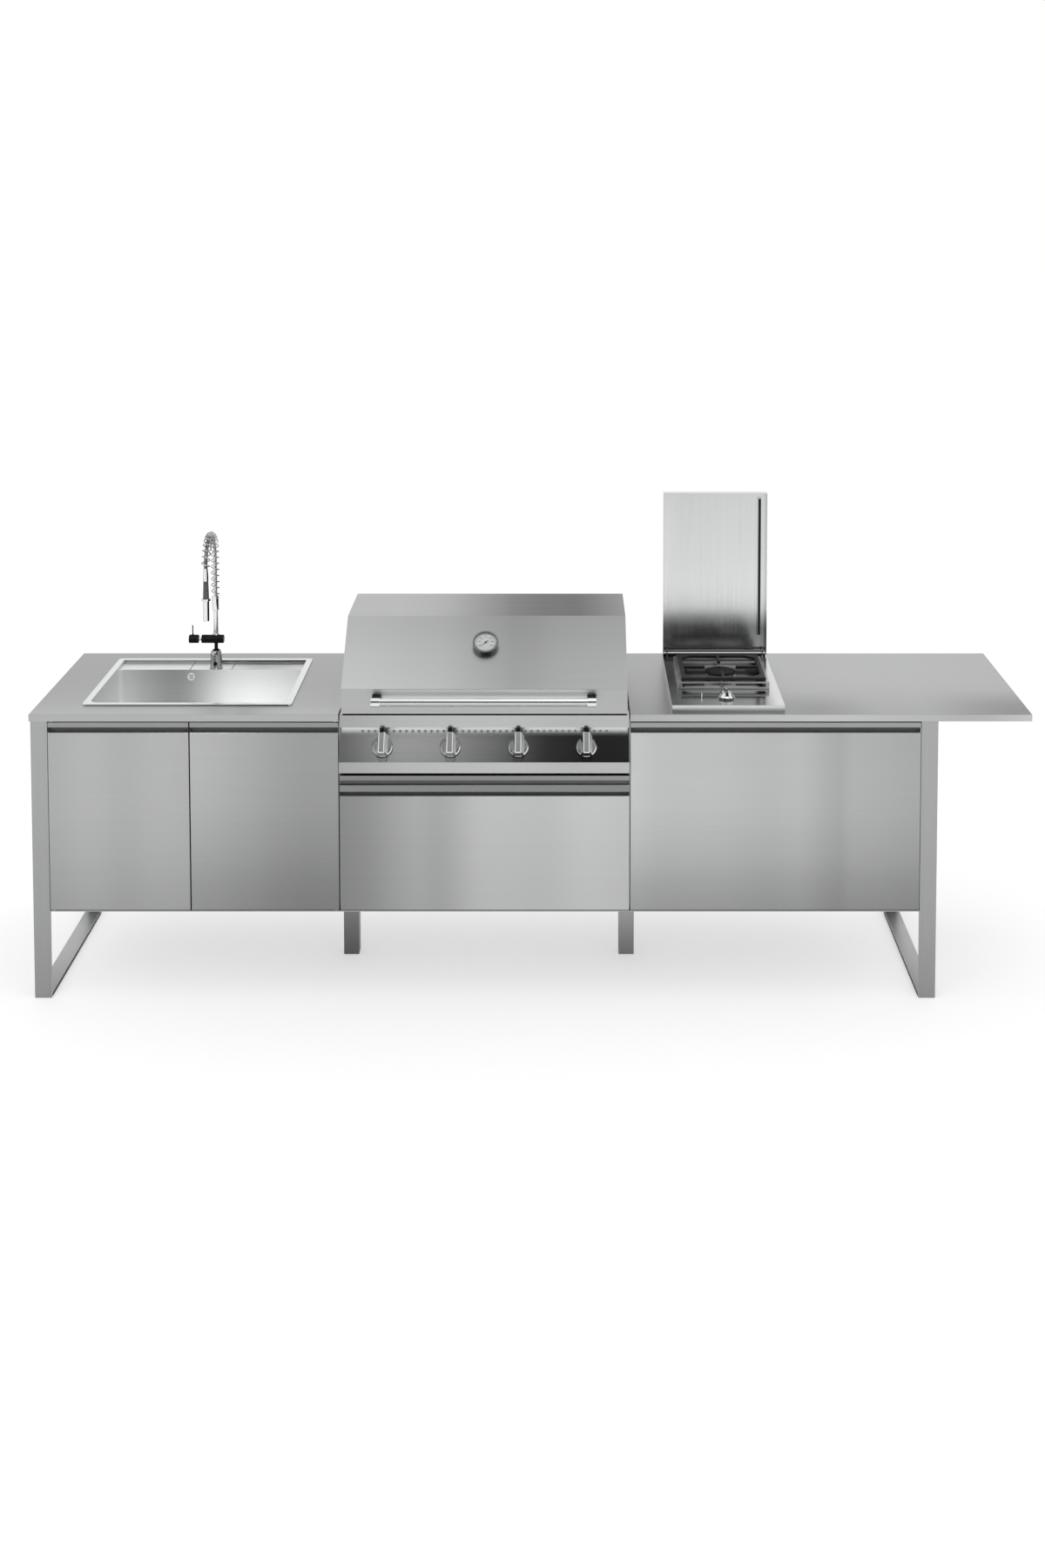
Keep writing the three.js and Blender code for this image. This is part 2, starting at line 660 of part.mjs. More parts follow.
// A perforated cup in the drain, with a spigot that the waste pipe takes.
function sinkStrainer() {
  const neck = DRAIN_RADIUS - 2 * SLIDE;
  const cup = turned(
    [
      [0, STRAINER_BOTTOM],
      [neck, STRAINER_BOTTOM],
      [neck, BOWL_FLOOR + SEAT],
      [STRAINER_FLANGE, BOWL_FLOOR + SEAT],
      [neck, BOWL_FLOOR + SEAT + SHEET],
      [neck - SHEET, BOWL_FLOOR],
      [neck - SHEET, STRAINER_BOTTOM + SHEET],
      [0, STRAINER_BOTTOM + SHEET],
    ],
    DISC_SIDES,
  );
  const middle = rod(STRAINER_HOLE, STRAINER_BOTTOM - OVERRUN, STRAINER_BOTTOM + OVERRUN, BORE_SIDES);
  const holes = [...Array(STRAINER_HOLES).keys()].map((i) => {
    const a = (i / STRAINER_HOLES) * 2 * Math.PI;
    const at = [STRAINER_HOLE_RING * Math.cos(a), STRAINER_HOLE_RING * Math.sin(a), 0];
    return middle.translate(at);
  });
  return piece("sink_strainer", cut(cup, middle, ...holes).translate([BOWL_X, BOWL_Y, 0]), "chrome");
}

// The waste: a bell under the strainer, a drop pipe, a bottle and an outlet to the back wall.
function sinkTrap() {
  const top = STRAINER_BOTTOM - SEAT;
  const bell = STRAINER_HOLE_RING + 2 * STRAINER_HOLE;
  const bottleTop = top - WASTE_DROP;
  const bottleFloor = bottleTop - BOTTLE_HEIGHT;
  const body = turned([
    [0, bottleFloor],
    [BOTTLE_RADIUS, bottleFloor],
    [BOTTLE_RADIUS, bottleTop],
    [WASTE_RADIUS, bottleTop + WASTE_RADIUS - WASTE_WALL],
    [WASTE_RADIUS, top - WASTE_RADIUS],
    [bell, top - WASTE_WALL],
    [bell, top],
    [bell - WASTE_WALL, top],
    [WASTE_RADIUS - WASTE_WALL, top - WASTE_RADIUS],
    [WASTE_RADIUS - WASTE_WALL, bottleTop],
    [BOTTLE_RADIUS - WASTE_WALL, bottleTop - WASTE_WALL],
    [BOTTLE_RADIUS - WASTE_WALL, bottleFloor + WASTE_WALL],
    [0, bottleFloor + WASTE_WALL],
  ]).translate([BOWL_X, BOWL_Y, 0]);
  const outletZ = bottleTop - OUTLET_DROP;
  const outletEnd = FRAME_DEPTH - SHEET - SEAT;
  const outlet = rodY(WASTE_RADIUS, BOWL_Y + BOTTLE_RADIUS - WASTE_WALL, outletEnd, BOWL_X, outletZ);
  const outletBore = rodY(
    WASTE_RADIUS - WASTE_WALL,
    BOWL_Y + BOTTLE_RADIUS / 2,
    outletEnd + OVERRUN,
    BOWL_X,
    outletZ,
  );
  return piece("sink_trap", cut(joined(body, outlet), outletBore), "plastic");
}

// Spring tap

const TAP_Y = SINK_REAR - TAP_BACK_FROM_RIM;
const MIXER_Z = LEDGE_LEVEL + SEAT + TAP_BASE_HEIGHT + TAP_NECK_HEIGHT + MIXER_RADIUS;
const RISER_FOOT = MIXER_Z + MIXER_RADIUS;
const SLEEVE_FOOT = RISER_FOOT + RISER_HEIGHT;
const SLEEVE_TOP = SLEEVE_FOOT + SLEEVE_HEIGHT;
const ARCH_Z = SLEEVE_TOP + ARCH_RISE;

// The route of the hose: up from the sleeve, over a half circle towards the front and down to the spray.
// It is given by the distance along it, with the direction of travel beside each point.
const HOSE_LENGTH = ARCH_RISE + Math.PI * ARCH_RADIUS;
function hoseRoute(distance) {
  if (distance <= ARCH_RISE) return { at: [0, distance - ARCH_RISE], way: [0, 1] };
  const a = Math.min((distance - ARCH_RISE) / ARCH_RADIUS, Math.PI);
  const [sine, cosine] = [Math.sin(a), Math.cos(a)];
  return { at: [-ARCH_RADIUS * (1 - cosine), ARCH_RADIUS * sine], way: [-sine, cosine] };
}

class HoseCurve extends THREE.Curve {
  getPoint(t, target = new THREE.Vector3()) {
    const { at } = hoseRoute(t * HOSE_LENGTH);
    return target.set(0, at[0], at[1]);
  }
}

function tapHose() {
  const section = new THREE.Shape();
  section.absarc(0, 0, HOSE_RADIUS, 0, 2 * Math.PI);
  const geometry = new THREE.ExtrudeGeometry(section, {
    steps: HOSE_STEPS,
    curveSegments: HOSE_SIDES / 2,
    extrudePath: new HoseCurve(),
  });
  return solid(geometry);
}

// The open spring around the hose is one unbroken wire, whose least gap to itself is measured on its points.
function tapSpring() {
  const start = SPRING_WIRE / 2;
  const end = HOSE_LENGTH - SPRING_WIRE / 2;
  const count = Math.round(((end - start) / SPRING_PITCH) * SPRING_STEPS);
  const centres = [];
  const outward = [];
  for (let i = 0; i <= count; i++) {
    const { at, way } = hoseRoute(start + ((end - start) * i) / count);
    const turn = (i / SPRING_STEPS) * 2 * Math.PI;
    const side = new THREE.Vector3(0, way[1], -way[0]).multiplyScalar(Math.cos(turn));
    side.x = Math.sin(turn);
    outward.push(side);
    centres.push(new THREE.Vector3(0, at[0], at[1]).addScaledVector(side, SPRING_COIL_RADIUS));
  }
  let least = Infinity;
  for (let i = 0; i <= count; i++) {
    for (let j = i + SPRING_STEPS / 2; j <= count; j++) {
      least = Math.min(least, centres[i].distanceTo(centres[j]));
    }
  }
  const curls = (count / SPRING_STEPS).toFixed(1);
  console.log(`tap spring: ${curls} curls, least gap ${(least - SPRING_WIRE).toFixed(1)} mm`);
  const positions = [];
  const index = [];
  centres.forEach((centre, i) => {
    const before = centres[Math.max(i - 1, 0)];
    const after = centres[Math.min(i + 1, count)];
    const along = after.clone().sub(before).normalize();
    const u = outward[i].clone().addScaledVector(along, -along.dot(outward[i])).normalize();
    const v = along.clone().cross(u);
    for (let k = 0; k < SPRING_SIDES; k++) {
      const a = (k / SPRING_SIDES) * 2 * Math.PI;
      const point = centre
        .clone()
        .addScaledVector(u, (SPRING_WIRE / 2) * Math.cos(a))
        .addScaledVector(v, (SPRING_WIRE / 2) * Math.sin(a));
      positions.push(point.x, point.y, point.z);
    }
  });
  for (let i = 0; i < count; i++) {
    for (let k = 0; k < SPRING_SIDES; k++) {
      const [a, b] = [i * SPRING_SIDES + k, i * SPRING_SIDES + ((k + 1) % SPRING_SIDES)];
      index.push(a, b, a + SPRING_SIDES, b, b + SPRING_SIDES, a + SPRING_SIDES);
    }
  }
  for (let k = 1; k < SPRING_SIDES - 1; k++) {
    const last = count * SPRING_SIDES;
    index.push(0, k + 1, k, last, last + k, last + k + 1);
  }
  const geometry = new THREE.BufferGeometry();
  geometry.setAttribute("position", new THREE.Float32BufferAttribute(positions, 3));
  geometry.setIndex(index);
  return solid(geometry);
}

// The base stands on the ledge of the basin with a thin flange.
function tapBase() {
  const foot = LEDGE_LEVEL + SEAT;
  const shoulder = foot + TAP_BASE_HEIGHT;
  return turned([
    [0, foot],
    [TAP_FLANGE_RADIUS, foot],
    [TAP_FLANGE_RADIUS, foot + TAP_FLANGE],
    [TAP_BASE_RADIUS, foot + TAP_FLANGE],
    [TAP_BASE_RADIUS, shoulder - TAP_BASE_DOME],
    [TAP_BASE_TOP_RADIUS, shoulder],
    [TAP_NECK_RADIUS, shoulder],
    [TAP_NECK_RADIUS, shoulder + TAP_NECK_HEIGHT + SEAT],
    [0, shoulder + TAP_NECK_HEIGHT + SEAT],
  ]);
}

// The mixer is a bar across the neck, bored for the riser on top and for the lever spindle in its left end.
function tapMixer() {
  const under = MIXER_Z - MIXER_RADIUS;
  const spindleEnd = -MIXER_LEFT + LEVER_SPINDLE_DEPTH;
  return cut(
    rodX(MIXER_RADIUS, -MIXER_LEFT, MIXER_RIGHT, 0, MIXER_Z, ROUND_SIDES),
    rod(TAP_NECK_RADIUS + SEAT, under - OVERRUN, under + SEAT + SLIDE + TAP_NECK_SOCKET),
    rod(SPIGOT_RADIUS + SLIDE, MIXER_Z, MIXER_Z + MIXER_RADIUS + OVERRUN),
    rodX(LEVER_SPINDLE + SLIDE, -MIXER_LEFT - OVERRUN, spindleEnd + SLIDE, 0, MIXER_Z),
  );
}

function tapLever() {
  const knobRight = -MIXER_LEFT - LEVER_GAP;
  const knobLeft = knobRight - LEVER_LENGTH;
  const pin = rod(LEVER_PIN_RADIUS, MIXER_Z, MIXER_Z + LEVER_PIN_REACH, BORE_SIDES);
  return joined(
    rodX(MIXER_RADIUS, knobLeft, knobRight, 0, MIXER_Z, ROUND_SIDES),
    rodX(LEVER_SPINDLE, knobRight - ROOT, -MIXER_LEFT + LEVER_SPINDLE_DEPTH, 0, MIXER_Z),
    pin.translate([knobRight - LEVER_PIN_INSET, 0, 0]),
  );
}

// The riser turns on a spigot in the mixer and ends in a sleeve that holds spring and hose.
function tapRiser() {
  return turned([
    [0, RISER_FOOT - SPIGOT_DEPTH],
    [SPIGOT_RADIUS, RISER_FOOT - SPIGOT_DEPTH],
    [SPIGOT_RADIUS, RISER_FOOT + SEAT],
    [RISER_RADIUS, RISER_FOOT + SEAT],
    [RISER_RADIUS, SLEEVE_FOOT],
    [SLEEVE_RADIUS, SLEEVE_FOOT],
    [SLEEVE_RADIUS, SLEEVE_TOP - SEAT],
    [0, SLEEVE_TOP - SEAT],
  ]);
}

// The pull-down spray: a cone and collar under the hose, a dark grip, a ring and the nozzle.
function sprayPieces() {
  const coneTop = ARCH_Z - SEAT;
  const coneFoot = coneTop - SPRAY_CONE;
  const collarFoot = coneFoot - SPRAY_COLLAR;
  const gripFoot = collarFoot - SPRAY_GRIP_LENGTH;
  const ringFoot = gripFoot - SPRAY_RING_HEIGHT;
  const nozzleFoot = ringFoot - SPRAY_NOZZLE_LENGTH;
  const grip = turned([
    [0, gripFoot + SEAT],
    [SPRAY_GRIP_RADIUS, gripFoot + SEAT],
    [SPRAY_GRIP_TOP_RADIUS, collarFoot],
    [SPRAY_COLLAR_RADIUS, collarFoot],
    [SPRAY_COLLAR_RADIUS, coneFoot],
    [SPRAY_CONE_TOP, coneTop],
    [0, coneTop],
  ]);
  const nozzle = turned([
    [0, nozzleFoot + SPRAY_BORE],
    [SPRAY_BORE, nozzleFoot + SPRAY_BORE],
    [SPRAY_BORE, nozzleFoot],
    [SPRAY_NOZZLE_RADIUS, nozzleFoot],
    [SPRAY_NOZZLE_RADIUS, ringFoot],
    [SPRAY_RING_RADIUS, ringFoot + SPRAY_RING_EDGE],
    [SPRAY_RING_RADIUS, gripFoot - SPRAY_RING_EDGE],
    [SPRAY_NOZZLE_RADIUS, gripFoot],
    [0, gripFoot],
  ]);
  const place = [0, -2 * ARCH_RADIUS, 0];
  return [
    piece("spray_grip", grip.translate(place), "grip"),
    piece("spray_nozzle", nozzle.translate(place), "chrome"),
  ];
}

function tap() {
  const curved = [piece("tap_spring", tapSpring(), "chrome"), piece("tap_hose", tapHose(), "black")];
  const arch = group(curved, 0, 0, ARCH_Z);
  return group(
    [
      piece("tap_base", tapBase(), "chrome"),
      piece("tap_mixer", tapMixer(), "black"),
      piece("tap_lever", tapLever(), "black"),
      piece("tap_riser", tapRiser(), "chrome"),
      arch,
      ...sprayPieces(),
    ],
    TAP_X,
    TAP_Y,
  );
}

// Grill body

const MIDDLE = MODULE_WIDTH / 2;
const FIREBOX_LEFT = GRILL_SIDE_GAP;
const FIREBOX_RIGHT = MODULE_WIDTH - GRILL_SIDE_GAP;

// The control fascia in side view: a top band, a recess behind it, the sloping panel and a lower lip.
const BAND_BOTTOM = FASCIA_TOP - FASCIA_BAND;
const SLOPE_TOP = [FASCIA_RECESS, BAND_BOTTOM];
const SLOPE_BOTTOM = [FASCIA_RECESS - FASCIA_SLOPE_RUN, BAND_BOTTOM - FASCIA_SLOPE_DROP];
const SLOPE_LENGTH = Math.hypot(FASCIA_SLOPE_RUN, FASCIA_SLOPE_DROP);
const SLOPE_DOWN = [-FASCIA_SLOPE_RUN / SLOPE_LENGTH, -FASCIA_SLOPE_DROP / SLOPE_LENGTH];
const SLOPE_TILT = Math.atan2(FASCIA_SLOPE_DROP, FASCIA_SLOPE_RUN);
const onSlope = (distance) => SLOPE_TOP.map((value, i) => value + SLOPE_DOWN[i] * distance);
const KNOB_XS = [...Array(KNOB_COUNT).keys()].map((i) => MIDDLE + (i - (KNOB_COUNT - 1) / 2) * KNOB_PITCH);
const KNOB_AT = onSlope(KNOB_DOWN_SLOPE);

// A solid modelled along +Z from the panel face, turned and moved to its place on the slope.
const seatedOnSlope = (shape, x, [y, z]) =>
  shape.rotate([THREE.MathUtils.radToDeg(SLOPE_TILT), 0, 0]).translate([x, y, z]);

function controlFascia() {
  const back = GRILL_FRONT - SEAT;
  const returnEnd = SLOPE_BOTTOM[0] + FASCIA_RETURN;
  const front = [
    [back, FASCIA_TOP],
    [0, FASCIA_TOP],
    [0, BAND_BOTTOM],
    SLOPE_TOP,
    SLOPE_BOTTOM,
    [SLOPE_BOTTOM[0], FASCIA_BOTTOM],
    [returnEnd, FASCIA_BOTTOM],
  ];
  const [left, right] = [FASCIA_GAP, MODULE_WIDTH - FASCIA_GAP];
  const hollow = [
    ...innerSide(front, SHEET).slice(1),
    [returnEnd, FASCIA_BOTTOM - OVERRUN],
    [back + OVERRUN, FASCIA_BOTTOM - OVERRUN],
    [back + OVERRUN, FASCIA_TOP - SHEET],
  ];
  const hole = (radius, sides) => rod(radius, -SHEET - OVERRUN, OVERRUN, sides);
  const holes = KNOB_XS.map((x) => seatedOnSlope(hole(STEM_COLLAR, TUBE_SIDES), x, KNOB_AT));
  const vents = [...Array(VENT_COUNT).keys()].map((i) => {
    const x = MIDDLE + (i - (VENT_COUNT - 1) / 2) * VENT_PITCH;
    return seatedOnSlope(hole(VENT_RADIUS, VENT_SIDES), x, onSlope(VENT_DOWN_SLOPE));
  });
  const shell = cut(
    crosswise(outline([...front, [back, FASCIA_BOTTOM]]), left, right),
    crosswise(outline(hollow), left + SHEET, right - SHEET),
  );
  return piece("control_fascia", cut(shell, ...holes, ...vents), "polished");
}

// A round skirt with a bar grip across it that reaches on at its upper end, from its underside at z = 0.
function knobShape({ radius, skirt, height, gripWidth, gripTop, reach, boreDepth }) {
  const bar = outline([
    [-gripWidth / 2, skirt / 2],
    [gripWidth / 2, skirt / 2],
    [gripWidth / 2, skirt + gripTop / 2],
    [gripTop / 2, height],
    [-gripTop / 2, height],
    [-gripWidth / 2, skirt + gripTop / 2],
  ]);
  const grip = new THREE.ExtrudeGeometry(bar, { depth: radius + reach, bevelEnabled: false });
  grip.translate(0, 0, -reach);
  grip.rotateX(Math.PI / 2);
  const edge = skirt * KNOB_EDGE_SHARE;
  const disc = turned(
    [
      [0, 0],
      [radius - edge, 0],
      [radius, edge],
      [radius, skirt / 2],
      [radius - skirt / 2, skirt],
      [0, skirt],
    ],
    DISC_SIDES,
  );
  const room = joined(
    rod(radius - edge, 0, height + OVERRUN, DISC_SIDES),
    block([-gripWidth, 0, 0], [gripWidth, reach + OVERRUN, height + OVERRUN]),
  );
  return cut(joined(disc, solid(grip).intersect(room)), rod(STEM_RADIUS + SEAT, -OVERRUN, boreDepth));
}

function knobs() {
  return KNOB_XS.flatMap((x, i) => {
    const knob = knobShape({
      radius: KNOB_RADIUS,
      skirt: KNOB_SKIRT,
      height: KNOB_HEIGHT,
      gripWidth: KNOB_GRIP_WIDTH,
      gripTop: KNOB_GRIP_TOP,
      reach: KNOB_GRIP_REACH,
      boreDepth: STEM_OUT - KNOB_STANDOFF + SEAT,
    }).translate([0, 0, KNOB_STANDOFF]);
    const stem = rod(STEM_RADIUS, -STEM_IN, STEM_OUT);
    const made = group(
      [piece(`knob_${i + 1}`, knob, "chrome"), piece(`valve_stem_${i + 1}`, stem, "inner")],
      x,
      KNOB_AT[0],
      KNOB_AT[1],
    );
    made.rotation.x = SLOPE_TILT;
    return made;
  });
}

// The gas rail behind the fascia carries a valve for each knob and feeds the burner tubes over the tray.
function burnerRail() {
  const end = GRILL_BACK - SHEET - SEAT;
  const railY = KNOB_AT[0] + Math.sin(SLOPE_TILT) * MANIFOLD_DEPTH;
  const railZ = KNOB_AT[1] - Math.cos(SLOPE_TILT) * MANIFOLD_DEPTH;
  const railEnds = [KNOB_XS[0] - MANIFOLD_OVERRUN, KNOB_XS[KNOB_COUNT - 1] + MANIFOLD_OVERRUN];
  const rail = rodX(MANIFOLD_RADIUS, ...railEnds, railY, railZ, TUBE_SIDES);
  const feeds = KNOB_XS.flatMap((x) => [
    seatedOnSlope(rod(VALVE_RADIUS, -MANIFOLD_DEPTH, -VALVE_START, TUBE_SIDES), x, KNOB_AT),
    rodY(BURNER_RADIUS, railY, end, x, railZ, TUBE_SIDES),
  ]);
  const bores = KNOB_XS.flatMap((x) => [
    seatedOnSlope(rod(STEM_RADIUS + SLIDE, -VALVE_START - VALVE_BORE_DEPTH, 0), x, KNOB_AT),
    rodY(BURNER_RADIUS - BURNER_WALL, GRILL_FRONT + OVERRUN, end - OVERRUN, x, railZ, TUBE_SIDES),
  ]);
  const ports = KNOB_XS.flatMap((x) =>
    [...Array(BURNER_PORTS).keys()].map((i) => {
      const y = GRILL_FRONT + BURNER_PORT_PITCH * (i + 1);
      return block(
        [x - BURNER_PORT_WIDTH / 2, y, railZ],
        [x + BURNER_PORT_WIDTH / 2, y + BURNER_PORT_LENGTH, railZ + BURNER_RADIUS + OVERRUN],
      );
    }),
  );
  const plugs = KNOB_XS.map((x) => rodY(BURNER_RADIUS, end - BURNER_WALL, end, x, railZ, TUBE_SIDES));
  return piece("burner_rail", joined(cut(joined(rail, ...feeds), ...bores, ...ports), ...plugs), "inner");
}

// The firebox hangs by its flanges on the cabinet walls, and carries the grates, burners and hood hinge.
const HINGE_Y = HOOD_DEPTH + HINGE_BACK;
const HINGE_Z = HOOD_BOTTOM + HINGE_RISE;
const HOOD_LEFT = HOOD_SIDE_GAP;

function firebox() {
  const [x0, x1] = [FIREBOX_LEFT, FIREBOX_RIGHT];
  const [y0, y1] = [GRILL_FRONT, GRILL_BACK];
  const [inX0, inX1, inY0, inY1] = [x0 + SHEET, x1 - SHEET, y0 + SHEET, y1 - SHEET];
  const shell = cut(
    block([SEAT, y0, GRILL_FLOOR], [MODULE_WIDTH - SEAT, y1, GRILL_WALL_TOP]),
    ...[[-OVERRUN, x0], [x1, MODULE_WIDTH + OVERRUN]].flatMap(([from, to]) => [
      block([from, y0 - OVERRUN, GRILL_FLOOR - OVERRUN], [to, y1 + OVERRUN, UNDERSIDE]),
      block([from, y0 - OVERRUN, UNDERSIDE + SHEET], [to, y1 + OVERRUN, GRILL_WALL_TOP + OVERRUN]),
    ]),
    block([inX0, inY0, GRATE_LEVEL], [inX1, inY1, GRILL_WALL_TOP + OVERRUN]),
    block([inX0, y0 + GRATE_LEDGE, GRILL_FLOOR + OVERRUN], [inX1, y1 - GRATE_LEDGE, GRATE_LEVEL + OVERRUN]),
    block([inX0, inY0, GRILL_FLOOR + SHEET], [inX1, inY1, GRATE_LEVEL - SHEET]),
    block(
      [x0 + GRILL_FLOOR_MARGIN, y0 + GRILL_FLOOR_MARGIN, GRILL_FLOOR - OVERRUN],
      [x1 - GRILL_FLOOR_MARGIN, y1 - GRILL_FLOOR_MARGIN, GRILL_FLOOR + OVERRUN],
    ),
  );
  const earRight = HOOD_LEFT - HINGE_EAR_GAP;
  const ear = joined(
    block(
      [earRight - HINGE_EAR_SHEET, HINGE_Y - HINGE_EAR, UNDERSIDE + SHEET / 2],
      [earRight, HINGE_Y + HINGE_EAR, HINGE_Z + HINGE_EAR],
    ),
    rodX(HINGE_PIN_RADIUS, earRight - ROOT, HOOD_LEFT + SHEET + HINGE_PIN_REACH, HINGE_Y, HINGE_Z),
  );
  const otherEar = ear.scale([-1, 1, 1]).translate([MODULE_WIDTH, 0, 0]);
  const railZ = KNOB_AT[1] - Math.cos(SLOPE_TILT) * MANIFOLD_DEPTH;
  const portholes = KNOB_XS.map((x) => {
    return rodY(BURNER_RADIUS + SLIDE, GRILL_FRONT - OVERRUN, GRILL_FRONT + OVERRUN, x, railZ, TUBE_SIDES);
  });
  return piece("firebox", joined(cut(shell, ...portholes), ear, otherEar), "inner");
}

function cookingGrate(name, x0, x1) {
  const [y0, y1] = [GRILL_FRONT + SHEET + GRATE_CLEARANCE, GRILL_BACK - SHEET - GRATE_CLEARANCE];
  const [z0, z1] = [GRATE_LEVEL, GRATE_LEVEL + GRATE_HEIGHT];
  const [inner0, inner1] = [x0 + GRATE_FRAME_BAR, x1 - GRATE_FRAME_BAR];
  const slot = (inner1 - inner0 - GRATE_BARS * GRATE_BAR) / (GRATE_BARS + 1);
  const slots = [...Array(GRATE_BARS + 1).keys()].map((i) => {
    const from = inner0 + i * (slot + GRATE_BAR);
    const far = [from + slot, y1 - GRATE_FRAME_BAR, z1 + OVERRUN];
    return block([from, y0 + GRATE_FRAME_BAR, z0 - OVERRUN], far);
  });
  return piece(name, cut(block([x0, y0, z0], [x1, y1, z1]), ...slots), "iron");
}

function cookingGrates() {
  const left = FIREBOX_LEFT + SHEET + GRATE_CLEARANCE;
  const right = FIREBOX_RIGHT - SHEET - GRATE_CLEARANCE;
  return [
    cookingGrate("left_cooking_grate", left, MIDDLE - GRATE_CLEARANCE / 2),
    cookingGrate("right_cooking_grate", MIDDLE + GRATE_CLEARANCE / 2, right),
  ];
}

// The drip tray slides on ledges of the cabinet walls, and its front strip fills the gap over the drawer.
function grillCabinet() {
  const ledge = (x0) =>
    block(
      [x0, CARCASS_FRONT + FRONT_GAP, TRAY_FRONT_BOTTOM - SHEET],
      [x0 + TRAY_LEDGE, FRONT_THICKNESS + TRAY_DEPTH, TRAY_FRONT_BOTTOM],
    );
  const ledges = [ledge(SHEET / 2), ledge(MODULE_WIDTH - SHEET / 2 - TRAY_LEDGE)];
  return piece("grill_cabinet", joined(carcass(false), ...ledges), "brushed");
}

function dripTray() {
  const bottom = TRAY_FRONT_BOTTOM + SEAT;
  const wallTop = bottom + TRAY_WALL_HEIGHT;
  const [x0, x1] = [SHEET + TRAY_SIDE_GAP, MODULE_WIDTH - SHEET - TRAY_SIDE_GAP];
  const [front, y0, y1] = [TRAY_SETBACK, TRAY_SETBACK + 2 * SHEET, TRAY_SETBACK + TRAY_DEPTH];
  const tray = cut(
    block([FRONT_GAP, front, bottom], [MODULE_WIDTH - FRONT_GAP, y1, TRAY_FRONT_TOP]),
    block([-OVERRUN, y0, wallTop], [MODULE_WIDTH + OVERRUN, y1 + OVERRUN, TRAY_FRONT_TOP + OVERRUN]),
    block([-OVERRUN, y0, bottom - OVERRUN], [x0, y1 + OVERRUN, TRAY_FRONT_TOP + OVERRUN]),
    block([x1, y0, bottom - OVERRUN], [MODULE_WIDTH + OVERRUN, y1 + OVERRUN, TRAY_FRONT_TOP + OVERRUN]),
    block([x0 + SHEET, y0, bottom + SHEET], [x1 - SHEET, y1 - SHEET, wallTop + OVERRUN]),
  );
  return piece("drip_tray", tray, "brushed");
}

// Hood

const HOOD_FOLD = HOOD_BOTTOM + HOOD_BAND;
const HOOD_TOP = HOOD_FOLD + HOOD_SLOPE_RISE;
const HOOD_TILT = Math.atan2(HOOD_SLOPE_RISE, HOOD_SLOPE_RUN);

// Modelled along +Z from the outer face of the hood's slope at its middle, a distance up from the fold.
const seatedOnHood = (shape, up) =>
  shape.rotate([THREE.MathUtils.radToDeg(HOOD_TILT), 0, 0]).translate([
    MIDDLE,
    Math.cos(HOOD_TILT) * up,
    HOOD_FOLD + Math.sin(HOOD_TILT) * up,
  ]);

function hood() {
  const path = [
    [0, HOOD_BOTTOM],
    [0, HOOD_FOLD],
    [HOOD_SLOPE_RUN, HOOD_TOP],
    [HOOD_DEPTH, HOOD_TOP],
    [HOOD_DEPTH, HOOD_BOTTOM],
  ];
  const [left, right] = [HOOD_LEFT, HOOD_LEFT + HOOD_WIDTH];
  const [earBack, earTop] = [HINGE_Y + HINGE_EAR, HINGE_Z + HINGE_EAR];
  const cheek = [...path.slice(0, -1), [HOOD_DEPTH, earTop], [earBack, earTop], [earBack, HOOD_BOTTOM]];
  const inside = innerSide([...path].reverse(), SHEET);
  const hollow = [
    [HOOD_DEPTH - SHEET, HOOD_BOTTOM - OVERRUN],
    ...inside.slice(1, -1),
    [SHEET, HOOD_BOTTOM - OVERRUN],
  ];
  const behind = block(
    [left + SHEET, HOOD_DEPTH, HOOD_BOTTOM - OVERRUN],
    [right - SHEET, earBack + OVERRUN, earTop + OVERRUN],
  );
  return piece(
    "hood",
    cut(
      crosswise(outline(cheek), left, right),
      crosswise(outline(hollow), left + SHEET, right - SHEET),
      behind,
      rodX(HINGE_PIN_RADIUS + SLIDE, left - OVERRUN, right + OVERRUN, HINGE_Y, HINGE_Z),
      seatedOnHood(rod(PROBE_RADIUS + SLIDE, -SHEET - OVERRUN, OVERRUN), DIAL_UP_SLOPE),
    ),
    "brushed",
  );
}

function hoodHandle() {
  const [x0, x1] = [MIDDLE - HANDLE_LENGTH / 2, MIDDLE + HANDLE_LENGTH / 2];
  const z = HOOD_BOTTOM + HANDLE_RISE;
  const bar = rodX(HANDLE_RADIUS, x0, x1, -HANDLE_REACH, z, ROUND_SIDES);
  const post = (x) =>
    block(
      [x, -HANDLE_REACH, z - HANDLE_POST_HEIGHT / 2],
      [x + HANDLE_POST_WIDTH, -SEAT, z + HANDLE_POST_HEIGHT / 2],
    );
  return piece("hood_handle", joined(bar, post(x0), post(x1 - HANDLE_POST_WIDTH)), "chrome");
}

